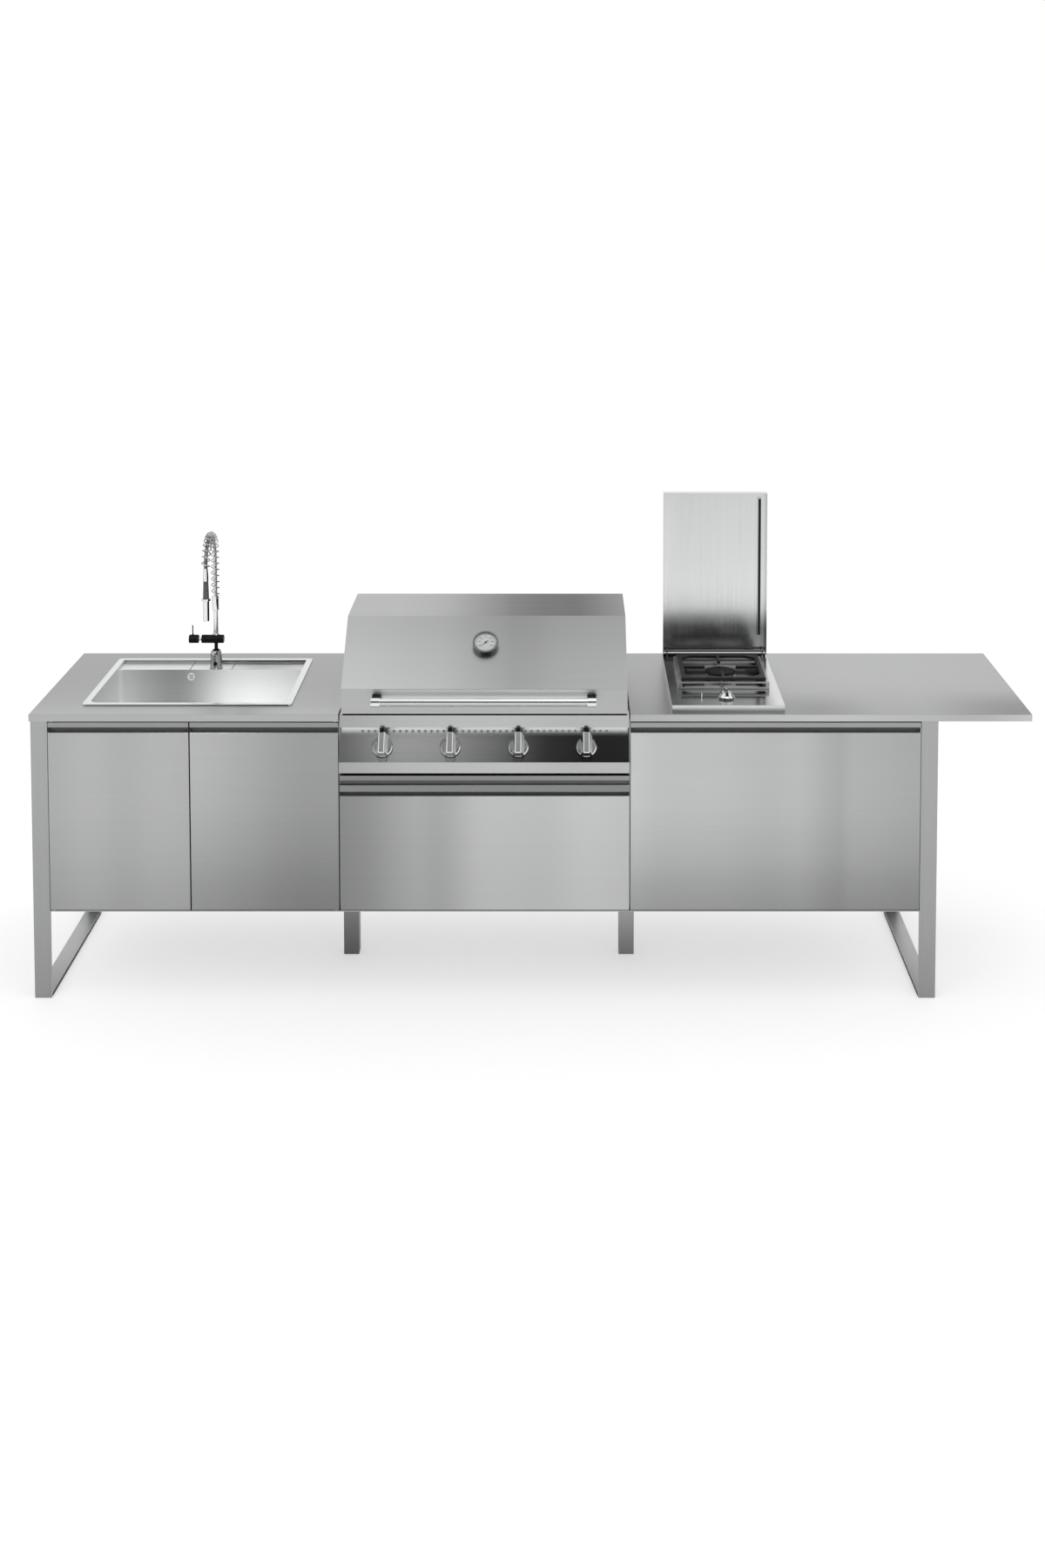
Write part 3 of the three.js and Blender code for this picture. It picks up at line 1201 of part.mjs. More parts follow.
// Thermometer: a case with a probe through the hood, a needle over the dial and a lens under the bezel.
function thermometer() {
  const floor = DIAL_HEIGHT - DIAL_RECESS;
  const window = DIAL_RADIUS - DIAL_BEZEL;
  const casing = turned(
    [
      [0, -PROBE_LENGTH],
      [PROBE_RADIUS, -PROBE_LENGTH],
      [PROBE_RADIUS, SEAT],
      [DIAL_RADIUS - DIAL_BEZEL / 2, SEAT],
      [DIAL_RADIUS - DIAL_BEZEL / 2, DIAL_HEIGHT - DIAL_BEZEL],
      [DIAL_RADIUS, DIAL_HEIGHT - DIAL_BEZEL],
      [DIAL_RADIUS, DIAL_HEIGHT - DIAL_EDGE],
      [DIAL_RADIUS - DIAL_EDGE, DIAL_HEIGHT],
      [window, DIAL_HEIGHT],
      [window, floor],
      [0, floor],
    ],
    DIAL_SIDES,
  );
  const lensFoot = DIAL_HEIGHT - LENS_THICKNESS - LENS_DROP;
  const lens = rod(window - SEAT, lensFoot, lensFoot + LENS_THICKNESS, DIAL_SIDES);
  const needleFoot = floor + SEAT;
  const hub = rod(NEEDLE_HUB, needleFoot, lensFoot - SEAT, TUBE_SIDES);
  const pointer = outline([
    [-NEEDLE_TAIL, -NEEDLE_WIDTH / 2],
    [0, -NEEDLE_WIDTH / 2],
    [NEEDLE_LENGTH, 0],
    [0, NEEDLE_WIDTH / 2],
    [-NEEDLE_TAIL, NEEDLE_WIDTH / 2],
  ]);
  const hand = upright(pointer, needleFoot + NEEDLE_THICKNESS, needleFoot + 2 * NEEDLE_THICKNESS);
  const needle = joined(hub, hand).rotate([0, 0, NEEDLE_ANGLE]);
  const made = group(
    [
      piece("thermometer_case", casing, "chrome"),
      piece("thermometer_needle", needle, "needle"),
      piece("thermometer_lens", lens, "glass"),
    ],
    MIDDLE,
    Math.cos(HOOD_TILT) * DIAL_UP_SLOPE,
    HOOD_FOLD + Math.sin(HOOD_TILT) * DIAL_UP_SLOPE,
  );
  made.rotation.x = HOOD_TILT;
  return made;
}

// Hob, in the frame of its own middle line

const HOB_TOP = WORKTOP_HEIGHT + HOB_RISE;
const LID_AXIS_Y = HOB_BACK - LID_HINGE_BACK;
const LID_AXIS_Z = HOB_TOP + LID_HINGE_RISE;

function hobPan() {
  const half = HOB_WIDTH / 2;
  const inside = half - SHEET;
  const pan = cut(
    block([-half, HOB_FRONT, WORKTOP_HEIGHT], [half, HOB_BACK, HOB_TOP]),
    block(
      [-inside, HOB_FRONT + SHEET, WORKTOP_HEIGHT - OVERRUN],
      [inside, HOB_BACK - SHEET, HOB_TOP - SHEET],
    ),
    rod(HOB_BURNER_HOLE, HOB_TOP - OVERRUN, HOB_TOP + OVERRUN, ROUND_SIDES).translate([0, HOB_BURNER_Y, 0]),
    rod(STEM_RADIUS + SLIDE, HOB_TOP - OVERRUN, HOB_TOP + OVERRUN).translate([0, HOB_KNOB_Y, 0]),
  );
  const ear = (x) => {
    const far = [x + LID_EAR_SHEET, LID_AXIS_Y + LID_EAR, LID_AXIS_Z + LID_EAR];
    return cut(
      block([x, LID_AXIS_Y - LID_EAR, HOB_TOP - SHEET], far),
      rodX(LID_PIN_RADIUS + SLIDE, x - OVERRUN, x + LID_EAR_SHEET + OVERRUN, LID_AXIS_Y, LID_AXIS_Z),
    );
  };
  const ears = [ear(LID_EAR_INSET - half), ear(half - LID_EAR_INSET - LID_EAR_SHEET)];
  return piece("hob_pan", joined(pan, ...ears), "polished");
}

// The burner sits in the pan on its flange, and a pipe joins it to the valve under the knob.
function hobBurner() {
  const foot = HOB_TOP - HOB_MIXER_DEPTH;
  const head = turned(
    [
      [0, foot],
      [HOB_MIXER_RADIUS, foot],
      [HOB_BURNER_HOLE - SLIDE, HOB_TOP - 2 * SHEET],
      [HOB_BURNER_HOLE - SLIDE, HOB_TOP + SEAT],
      [HOB_BURNER_RADIUS, HOB_TOP + SEAT],
      [HOB_BURNER_RADIUS, HOB_TOP + HOB_BURNER_HEIGHT],
      [0, HOB_TOP + HOB_BURNER_HEIGHT],
    ],
    DISC_SIDES,
  ).translate([0, HOB_BURNER_Y, 0]);
  const pipeZ = foot + HOB_PIPE_RADIUS;
  const pipe = rodY(HOB_PIPE_RADIUS, HOB_KNOB_Y, HOB_BURNER_Y, 0, pipeZ);
  const valve = rod(VALVE_RADIUS, foot - SHEET, HOB_TOP - SHEET - SEAT).translate([0, HOB_KNOB_Y, 0]);
  const bore = rod(STEM_RADIUS + SLIDE, HOB_TOP - STEM_IN - OVERRUN, HOB_TOP).translate([0, HOB_KNOB_Y, 0]);
  return piece("hob_burner", cut(joined(head, pipe, valve), bore), "inner");
}

function hobBurnerCap() {
  const foot = HOB_TOP + HOB_BURNER_HEIGHT + SEAT;
  const edge = HOB_CAP_HEIGHT * HOB_CAP_EDGE_SHARE;
  const profile = [
    [0, foot],
    [HOB_CAP_RADIUS - edge, foot],
    [HOB_CAP_RADIUS, foot + edge],
    [HOB_CAP_RADIUS, foot + HOB_CAP_HEIGHT / 2],
    [HOB_CAP_RADIUS - HOB_CAP_HEIGHT, foot + HOB_CAP_HEIGHT],
    [0, foot + HOB_CAP_HEIGHT],
  ];
  return piece("hob_burner_cap", turned(profile, DISC_SIDES).translate([0, HOB_BURNER_Y, 0]), "black");
}

// The cast grate: a frame with braced corners and a finger from the middle of each side towards the burner.
function hobGrate() {
  const [w, d, f, g] = [HOB_GRATE_WIDTH / 2, HOB_GRATE_DEPTH / 2, HOB_FINGER_LENGTH, HOB_GRATE_GUSSET];
  const [inX, inY] = [w - HOB_GRATE_BAR, d - HOB_GRATE_BAR];
  const half = HOB_FINGER_WIDTH / 2;
  const window = [
    [g - w, -inY], [-half, -inY], [-half, f - d], [half, f - d], [half, -inY], [w - g, -inY],
    [inX, g - d], [inX, -half], [w - f, -half], [w - f, half], [inX, half], [inX, d - g],
    [w - g, inY], [half, inY], [half, d - f], [-half, d - f], [-half, inY], [g - w, inY],
    [-inX, d - g], [-inX, half], [f - w, half], [f - w, -half], [-inX, -half], [-inX, g - d],
  ];
  const plan = pierced(corners([-w, -d], [w, d]), [window]);
  const grate = upright(plan, HOB_GRATE_TOP - HOB_GRATE_HEIGHT, HOB_GRATE_TOP);
  return piece("hob_grate", grate.translate([0, HOB_BURNER_Y, 0]), "iron");
}

// The stand under the grate: four posts with an upper and a lower rail between them.
function hobStand() {
  const w = HOB_GRATE_WIDTH / 2 + HOB_STAND_MARGIN;
  const d = HOB_GRATE_DEPTH / 2 + HOB_STAND_MARGIN;
  const [inX, inY] = [w - HOB_STAND_POST, d - HOB_STAND_POST];
  const top = HOB_GRATE_TOP - HOB_GRATE_HEIGHT - SEAT;
  const foot = HOB_TOP + SEAT;
  const [low, high] = [foot + HOB_STAND_RAIL, top - HOB_STAND_RAIL];
  const stand = cut(
    block([-w, -d, foot], [w, d, top]),
    block([-inX, -inY, foot - OVERRUN], [inX, inY, top + OVERRUN]),
    block([-w - OVERRUN, -inY, low], [w + OVERRUN, inY, high]),
    block([-inX, -d - OVERRUN, low], [inX, d + OVERRUN, high]),
  );
  return piece("hob_grate_stand", stand.translate([0, HOB_BURNER_Y, 0]), "brushed");
}

function hobKnob() {
  const knob = knobShape({
    radius: HOB_KNOB_RADIUS,
    skirt: HOB_KNOB_SKIRT,
    height: HOB_KNOB_HEIGHT,
    gripWidth: HOB_KNOB_GRIP,
    gripTop: HOB_KNOB_GRIP / 2,
    reach: HOB_KNOB_RADIUS,
    boreDepth: HOB_KNOB_HEIGHT / 2 + SEAT,
  }).translate([0, 0, KNOB_STANDOFF]);
  const stem = rod(STEM_RADIUS, -STEM_IN, KNOB_STANDOFF + HOB_KNOB_HEIGHT / 2);
  const pieces = [piece("hob_knob", knob, "chrome"), piece("hob_valve_stem", stem, "inner")];
  return group(pieces, 0, HOB_KNOB_Y, HOB_TOP);
}

// The lid stands open: a shallow tray whose skin lies behind the hinge, so that its weight keeps it up.
function hobLid() {
  const half = HOB_WIDTH / 2;
  const [skinFront, skinBack] = [LID_HINGE_TO_SKIN - SHEET, LID_HINGE_TO_SKIN];
  const rimFront = skinBack - LID_RIM;
  const [foot, top] = [-LID_HINGE_TO_END, LID_LENGTH - LID_HINGE_TO_END];
  const tray = cut(
    block([-half, rimFront, foot], [half, skinBack, top]),
    block([SHEET - half, rimFront - OVERRUN, foot - OVERRUN], [half - SHEET, skinFront, top - SHEET]),
    rodX(LID_PIN_RADIUS + SLIDE, -half - OVERRUN, half + OVERRUN, 0, 0),
  );
  const [trackLeft, trackRight] = [half - LID_TRACK_INSET, half - LID_TRACK_INSET + LID_TRACK_WIDTH];
  const [trackFoot, trackTop] = [foot + LID_TRACK_START, top - LID_TRACK_END];
  const slotMargin = (LID_TRACK_WIDTH - LID_TRACK_SLOT) / 2;
  const trackFront = skinFront - LID_TRACK_DEPTH;
  const track = cut(
    block([trackLeft, trackFront, trackFoot], [trackRight, skinFront + SHEET / 2, trackTop]),
    block(
      [trackRight - slotMargin - LID_TRACK_SLOT, trackFront - OVERRUN, trackFoot + slotMargin],
      [trackRight - slotMargin, skinFront - SHEET, trackTop - slotMargin],
    ),
  );
  const pin = rodX(LID_PIN_RADIUS, SEAT - half, half - SEAT, 0, 0);
  return group(
    [piece("hob_lid", joined(tray, track), "polished"), piece("lid_hinge_pin", pin, "inner")],
    0,
    LID_AXIS_Y,
    LID_AXIS_Z,
  );
}

// Worktops

const SINK_MODULE_X = FRAME_WIDTH;
const GRILL_MODULE_X = SINK_MODULE_X + MODULE_WIDTH;
const HOB_MODULE_X = GRILL_MODULE_X + MODULE_WIDTH;

function slab(x0, x1, y0) {
  return block([x0, y0, UNDERSIDE], [x1, WORKTOP_DEPTH - WORKTOP_LIP, WORKTOP_HEIGHT]);
}

function worktops() {
  const [sinkX, hobX] = [SINK_MODULE_X, HOB_MODULE_X + HOB_CENTRE];
  const sinkHole = block(
    [sinkX + SINK_LEFT + RIM_SEAT, SINK_FRONT + RIM_SEAT, UNDERSIDE - OVERRUN],
    [sinkX + SINK_RIGHT - RIM_SEAT, SINK_REAR - RIM_SEAT, WORKTOP_HEIGHT + OVERRUN],
  );
  const hobHalf = HOB_WIDTH / 2 - HOB_SEAT;
  const hobHole = block(
    [hobX - hobHalf, HOB_FRONT + HOB_SEAT, UNDERSIDE - OVERRUN],
    [hobX + hobHalf, HOB_BACK - HOB_SEAT, WORKTOP_HEIGHT + OVERRUN],
  );
  const left = slab(-WORKTOP_LIP, GRILL_MODULE_X, -WORKTOP_LIP);
  const right = slab(HOB_MODULE_X, BODY_WIDTH + BAR_OVERHANG, -WORKTOP_LIP);
  const strip = slab(GRILL_MODULE_X, HOB_MODULE_X, WORKTOP_DEPTH - WORKTOP_LIP - REAR_STRIP_DEPTH);
  return [
    piece("left_worktop", cut(left, sinkHole), "brushed"),
    piece("right_worktop", cut(right, hobHole), "brushed"),
    piece("rear_worktop_strip", strip, "brushed"),
  ];
}

// The island, from the left frame's outer face and the plane of the fronts

const sinkModule = group(
  [
    sinkCabinet(),
    door("left_door", DOOR_EDGES[0]),
    door("right_door", DOOR_EDGES[1]),
    sinkBasin(),
    sinkStrainer(),
    sinkTrap(),
    tap(),
  ],
  SINK_MODULE_X,
);

const grillModule = group(
  [
    grillCabinet(),
    ...drawer(
      "grill_drawer",
      { top: DRAWER_TOP, strip: DRAWER_STRIP_HEIGHT, groove: DRAWER_GROOVE_HEIGHT },
      GRILL_DRAWER_HEIGHT,
    ),
    dripTray(),
    firebox(),
    burnerRail(),
    controlFascia(),
    ...knobs(),
    ...cookingGrates(),
    hood(),
    hoodHandle(),
    thermometer(),
  ],
  GRILL_MODULE_X,
);

const hob = group(
  [hobPan(), hobBurner(), hobBurnerCap(), hobGrate(), hobStand(), hobKnob(), hobLid()],
  HOB_CENTRE,
);

const hobModule = group(
  [
    piece("hob_cabinet", carcass(true), "brushed"),
    ...drawer(
      "hob_drawer",
      { top: FRONT_TOP, strip: STRIP_HEIGHT, groove: GROOVE_HEIGHT },
      HOB_DRAWER_HEIGHT,
    ),
    hob,
  ],
  HOB_MODULE_X,
);

const frames = [
  group([sideFrame("left_side_frame")]),
  group([sideFrame("right_side_frame")], BODY_WIDTH - FRAME_WIDTH),
  group([middleLeg("left_middle_leg")], GRILL_MODULE_X, FRAME_DEPTH / 2),
  group([middleLeg("right_middle_leg")], HOB_MODULE_X, FRAME_DEPTH / 2),
];

// The handle reaches furthest forward and the worktop furthest back, left and right.
const middleX = (BODY_WIDTH + BAR_OVERHANG - WORKTOP_LIP) / 2;
const middleY = (WORKTOP_DEPTH - WORKTOP_LIP - HANDLE_REACH - HANDLE_RADIUS) / 2;
const island = group([...frames, ...worktops(), sinkModule, grillModule, hobModule], -middleX, -middleY);

export default island;
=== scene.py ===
"""Outdoor kitchen island in stainless steel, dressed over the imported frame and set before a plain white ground."""
import logging
import math
from contextlib import contextmanager
from dataclasses import dataclass
from enum import Enum
from typing import Iterator

import bmesh
import bpy
from mathutils import Matrix, Vector


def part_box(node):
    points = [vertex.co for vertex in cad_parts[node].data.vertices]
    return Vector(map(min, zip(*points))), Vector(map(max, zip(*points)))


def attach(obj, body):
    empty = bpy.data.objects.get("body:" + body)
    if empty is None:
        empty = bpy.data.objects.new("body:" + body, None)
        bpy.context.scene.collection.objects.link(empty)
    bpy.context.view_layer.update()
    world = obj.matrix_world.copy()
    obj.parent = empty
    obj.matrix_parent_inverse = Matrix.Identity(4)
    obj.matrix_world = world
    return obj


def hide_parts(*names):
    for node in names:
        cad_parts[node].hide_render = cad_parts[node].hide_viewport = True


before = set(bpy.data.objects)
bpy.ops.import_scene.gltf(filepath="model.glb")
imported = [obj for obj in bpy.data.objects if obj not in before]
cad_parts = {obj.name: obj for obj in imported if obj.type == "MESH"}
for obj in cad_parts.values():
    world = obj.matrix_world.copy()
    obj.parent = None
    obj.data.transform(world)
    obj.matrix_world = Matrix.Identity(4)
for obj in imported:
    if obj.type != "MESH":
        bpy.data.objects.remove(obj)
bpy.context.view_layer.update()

LOG = logging.getLogger("island")
MM = 0.001
WHITE = (1.0, 1.0, 1.0, 1.0)

Point = tuple[float, float, float]
Colour = tuple[float, float, float]
Span = tuple[float, float]
Stops = tuple[Span, ...]
Profile = list[Span]
Socket = bpy.types.NodeSocket
Piece = bpy.types.Object
Paint = bpy.types.Material


class Grain(Enum):
    """The way in which a sheet is brushed, as texture scales along X, Y and Z."""

    UPRIGHT = (1.0, 1.0, 0.004)
    ALONG_X = (0.004, 1.0, 1.0)
    ALONG_Y = (1.0, 0.004, 1.0)


class Slot(Enum):
    """Names of material slots."""

    BRUSHED = "brushed"
    POLISHED = "polished"
    INNER = "inner"
    CHROME = "chrome"
    BLACK = "black"
    GRIP = "grip"
    IRON = "iron"
    PLASTIC = "plastic"
    GLASS = "glass"
    NEEDLE = "needle"


# ---- materials ----


NOISE_LOW = 0.25
NOISE_HIGH = 0.75


@dataclass(frozen=True)
class Waves:
    """A noise pattern: waves per metre along X, Y and Z, its octaves and the weight of the finer ones."""

    scale: Point
    detail: float = 2.0
    weight: float = 0.5


@dataclass(frozen=True)
class PaintedLight:
    """Painted reflections and shade: factors on a surface's tone at places in metres along each axis."""

    x: Stops = ()
    y: Stops = ()
    z: Stops = ()


@dataclass(frozen=True)
class PaintedPatch:
    """A patch of painted highlight or shade, of another brightness, that fades in where its share is high."""

    level: float
    share: PaintedLight


class Nodes:
    """A node tree under construction."""

    def __init__(self, tree: bpy.types.NodeTree) -> None:
        """Take over a tree."""
        self.tree = tree

    def feed(self, target: Socket, value: object) -> None:
        """Link a socket to another one, or set its plain value."""
        if isinstance(value, Socket):
            self.tree.links.new(value, target)
        else:
            target.default_value = value

    def add(self, kind: str, inputs: dict[str | int, object] | None = None, **settings: object) -> bpy.types.Node:
        """Add a node.

        Args:
            kind: the node's type name.
            inputs: what each input takes, a value or a socket, by name or number.
            settings: plain properties by name.

        Returns:
            The new node.
        """
        made = self.tree.nodes.new(kind)
        for key, value in settings.items():
            setattr(made, key, value)
        for key, value in (inputs or {}).items():
            self.feed(made.inputs[key], value)
        return made

    def rays(self, *kinds: str) -> Socket:
        """One where a ray is of any of the named kinds, zero elsewhere."""
        path = self.add("ShaderNodeLightPath")
        found = path.outputs[kinds[0]]
        for kind in kinds[1:]:
            found = self.add("ShaderNodeMath", {0: found, 1: path.outputs[kind]}, operation="MAXIMUM").outputs[0]
        return found


class Shade(Nodes):
    """A material under construction, patterned on object coordinates."""

    def __init__(self, name: str) -> None:
        """Start the material under its name."""
        self.material = bpy.data.materials.new(name)
        self.material.use_nodes = True
        super().__init__(self.material.node_tree)
        self.shader = self.tree.nodes["Principled BSDF"]

    def set(self, **values: object) -> None:
        """Feed the shader's own sockets, named with underscores for spaces."""
        for key, value in values.items():
            self.feed(self.shader.inputs[key.replace("_", " ")], value)

    def coords(self) -> Socket:
        """The object coordinates."""
        return self.add("ShaderNodeTexCoord").outputs["Object"]

    def constant(self, colour: Colour) -> Socket:
        """A plain colour as a socket."""
        made = self.add("ShaderNodeRGB")
        made.outputs[0].default_value = (*colour, 1.0)
        return made.outputs[0]

    def noise(self, waves: Waves) -> Socket:
        """The value of a noise pattern, around 0.5."""
        place = self.add("ShaderNodeMapping", {"Vector": self.coords(), "Scale": waves.scale})
        return self.add("ShaderNodeTexNoise", {
            "Vector": place.outputs["Vector"], "Scale": 1.0, "Detail": waves.detail, "Roughness": waves.weight,
        }).outputs["Fac"]

    def remap(self, value: Socket, low: float, high: float) -> Socket:
        """Bring a noise's usual range to that of low to high, clamped."""
        return self.add("ShaderNodeMapRange", {
            "Value": value, "From Min": NOISE_LOW, "From Max": NOISE_HIGH, "To Min": low, "To Max": high,
        }).outputs["Result"]

    def mix(self, first: Socket, second: Socket, share: float | Socket = 1.0, how: str = "MULTIPLY") -> Socket:
        """Blend two colours.

        Args:
            first: the lower colour.
            second: the upper colour.
            share: how much of the upper one is used.
            how: the node's blend type.

        Returns:
            The socket of the result.
        """
        made = self.add("ShaderNodeMix", {"Factor": share, "A": first, "B": second}, data_type="RGBA", blend_type=how)
        return made.outputs["Result"]

    def along(self, axis: int, stops: Stops) -> Socket:
        """A grey tone that changes along one axis of the object.

        Args:
            axis: 0, 1 or 2 for X, Y or Z.
            stops: pairs of a place in metres and the tone there, in rising order.

        Returns:
            The socket of the tone.
        """
        first, last = stops[0][0], stops[-1][0]
        parts = self.add("ShaderNodeSeparateXYZ", {"Vector": self.coords()})
        span = self.add("ShaderNodeMapRange", {"Value": parts.outputs[axis], "From Min": first, "From Max": last})
        ramp = self.add("ShaderNodeValToRGB", {"Fac": span.outputs["Result"]})
        ramp.color_ramp.interpolation = "CARDINAL"
        while len(ramp.color_ramp.elements) < len(stops):
            ramp.color_ramp.elements.new(0.5)
        for element, (place, tone) in zip(ramp.color_ramp.elements, stops):
            element.position = (place - first) / (last - first)
            element.color = (tone, tone, tone, 1.0)
        return ramp.outputs["Color"]

    def with_painted_light(self, colour: Colour, painted_light: PaintedLight) -> Socket:
        """A colour or share multiplied by its painted reflection and shade tones, each ramp kept below one by its peak.
        """
        result = self.constant(colour)
        for axis, stops in enumerate((painted_light.x, painted_light.y, painted_light.z)):
            if stops:
                peak = max(1.0, max(tone for _, tone in stops))
                result = self.mix(result, self.along(axis, tuple((at, tone / peak) for at, tone in stops)))
                result = self.mix(result, self.constant((peak, peak, peak))) if peak > 1.0 else result
        return result

    def bump(self, waves: Waves, strength: float, distance: float) -> None:
        """Raise the surface by a noise pattern.

        Args:
            waves: the pattern.
            strength: how much of it is used, 0 to 1.
            distance: the height in metres that a value of 1 stands for.
        """
        made = self.add("ShaderNodeBump", {"Height": self.noise(waves), "Strength": strength, "Distance": distance})
        self.set(Normal=made.outputs["Normal"])


STEEL_CAST = (0.988, 1.0, 0.996)


def steel(level: float) -> Colour:
    """Stainless steel of a brightness, a little cooler than grey."""
    return tuple(level * share for share in STEEL_CAST)


@dataclass(frozen=True)
class BrushedSteel:
    """Stainless steel sheet with a fine grain, soft noise bands of painted sheen, and painted reflections and shade
    over the sheet.
    """

    name: str
    level: float
    roughness: float
    grain: Grain = Grain.ALONG_X
    streak: float = 0.02
    bands: float = 0.015
    painted_light: PaintedLight = PaintedLight()
    painted_patch: PaintedPatch | None = None
    metal: float = 1.0
    relief: float = 0.25
    spread: Span = (-0.05, 0.06)
    fine: float = 900.0
    coarse: float = 210.0
    sheen: Waves = Waves((3.4, 0.5, 0.25), 2.0, 0.45)
    depth: float = 0.00003

    def build(self) -> Paint:
        """Make the material."""
        shade = Shade(self.name)
        fine = Waves(tuple(self.fine * stretch for stretch in self.grain.value))
        coarse = Waves(tuple(self.coarse * stretch for stretch in self.grain.value), 3.0, 0.6)
        # The steel's tone times its painted reflections and shade.
        colour = shade.with_painted_light(steel(self.level), self.painted_light)
        # A patch of painted highlight or shade fades in over the tone.
        if self.painted_patch:
            share = shade.with_painted_light((1.0, 1.0, 1.0), self.painted_patch.share)
            colour = shade.mix(colour, shade.constant(steel(self.painted_patch.level)), share, "MIX")
        for waves, swing in ((coarse, self.streak), (self.sheen, self.bands)):
            colour = shade.mix(colour, shade.remap(shade.noise(waves), 1 - swing, 1 + swing))
        low, high = (self.roughness + step for step in self.spread)
        shade.set(Base_Color=colour, Roughness=shade.remap(shade.noise(fine), low, high), Metallic=self.metal)
        shade.bump(fine, self.relief, self.depth)
        return shade.material


@dataclass(frozen=True)
class Moulded:
    """Plastic, paint or enamel: one colour whose tone and roughness follow a cloud of noise, over a fine texture."""

    name: str
    colour: Colour
    roughness: float
    pebble: float = 0.3
    relief: Waves = Waves((700.0, 700.0, 700.0), 3.0, 0.6)
    depth: float = 0.00012
    spread: Span = (-0.04, 0.05)
    cloud: Waves = Waves((35.0, 35.0, 35.0), 3.0)
    tone: Span | None = (0.9, 1.08)
    metal: float = 0.0
    painted_light: PaintedLight = PaintedLight()
    sockets: tuple[tuple[str, float], ...] = ()

    def build(self) -> Paint:
        """Make the material."""
        shade = Shade(self.name)
        cloud = shade.noise(self.cloud)
        colour = (*self.colour, 1.0)
        if self.tone:
            # Painted reflections and shade multiply the colour, where the finish has them.
            colour = shade.mix(shade.with_painted_light(self.colour, self.painted_light), shade.remap(cloud, *self.tone))
        low, high = (self.roughness + step for step in self.spread)
        shade.set(Base_Color=colour, Roughness=shade.remap(cloud, low, high), Metallic=self.metal, **dict(self.sockets))
        if self.pebble:
            shade.bump(self.relief, self.pebble, self.depth)
        return shade.material


@dataclass(frozen=True)
class Chrome(Moulded):
    """Polished metal with faint smears and fine scratches."""

    pebble: float = 0.12
    relief: Waves = Waves((1400.0, 90.0, 900.0))
    depth: float = 0.00001
    spread: Span = (0.0, 0.03)
    cloud: Waves = Waves((28.0, 28.0, 28.0), 4.0, 0.65)
    tone: Span | None = (0.97, 1.0)
    metal: float = 1.0


@dataclass(frozen=True)
class CastIron(Moulded):
    """Black enamelled iron with the pits and orange peel of a casting."""

    pebble: float = 0.6
    relief: Waves = Waves((420.0, 420.0, 420.0), 4.0, 0.7)
    depth: float = 0.0004
    spread: Span = (-0.08, 0.1)
    cloud: Waves = Waves((60.0, 60.0, 60.0), 3.0)
    tone: Span | None = (0.75, 1.3)
    metal: float = 0.1
    sockets: tuple[tuple[str, float], ...] = (
        ("Coat_Weight", 0.1), ("Coat_Roughness", 0.25), ("Specular_IOR_Level", 0.3),
    )


@dataclass(frozen=True)
class Braid(Moulded):
    """The metal braid of a flexible hose, as a fine mesh of strands."""

    pebble: float = 0.6
    relief: Waves = Waves((900.0, 900.0, 500.0))
    depth: float = 0.0002
    spread: Span = (0.0, 0.28)
    cloud: Waves = Waves((900.0, 900.0, 500.0))
    tone: Span | None = (0.55, 1.25)
    metal: float = 0.9


@dataclass(frozen=True)
class ClearGlass(Moulded):
    """A clear window of one even colour with a trace of dust."""

    pebble: float = 0.0
    spread: Span = (0.0, 0.04)
    cloud: Waves = Waves((160.0, 160.0, 160.0), 4.0)
    tone: Span | None = None
    sockets: tuple[tuple[str, float], ...] = (("Transmission_Weight", 1.0), ("IOR", 1.45))
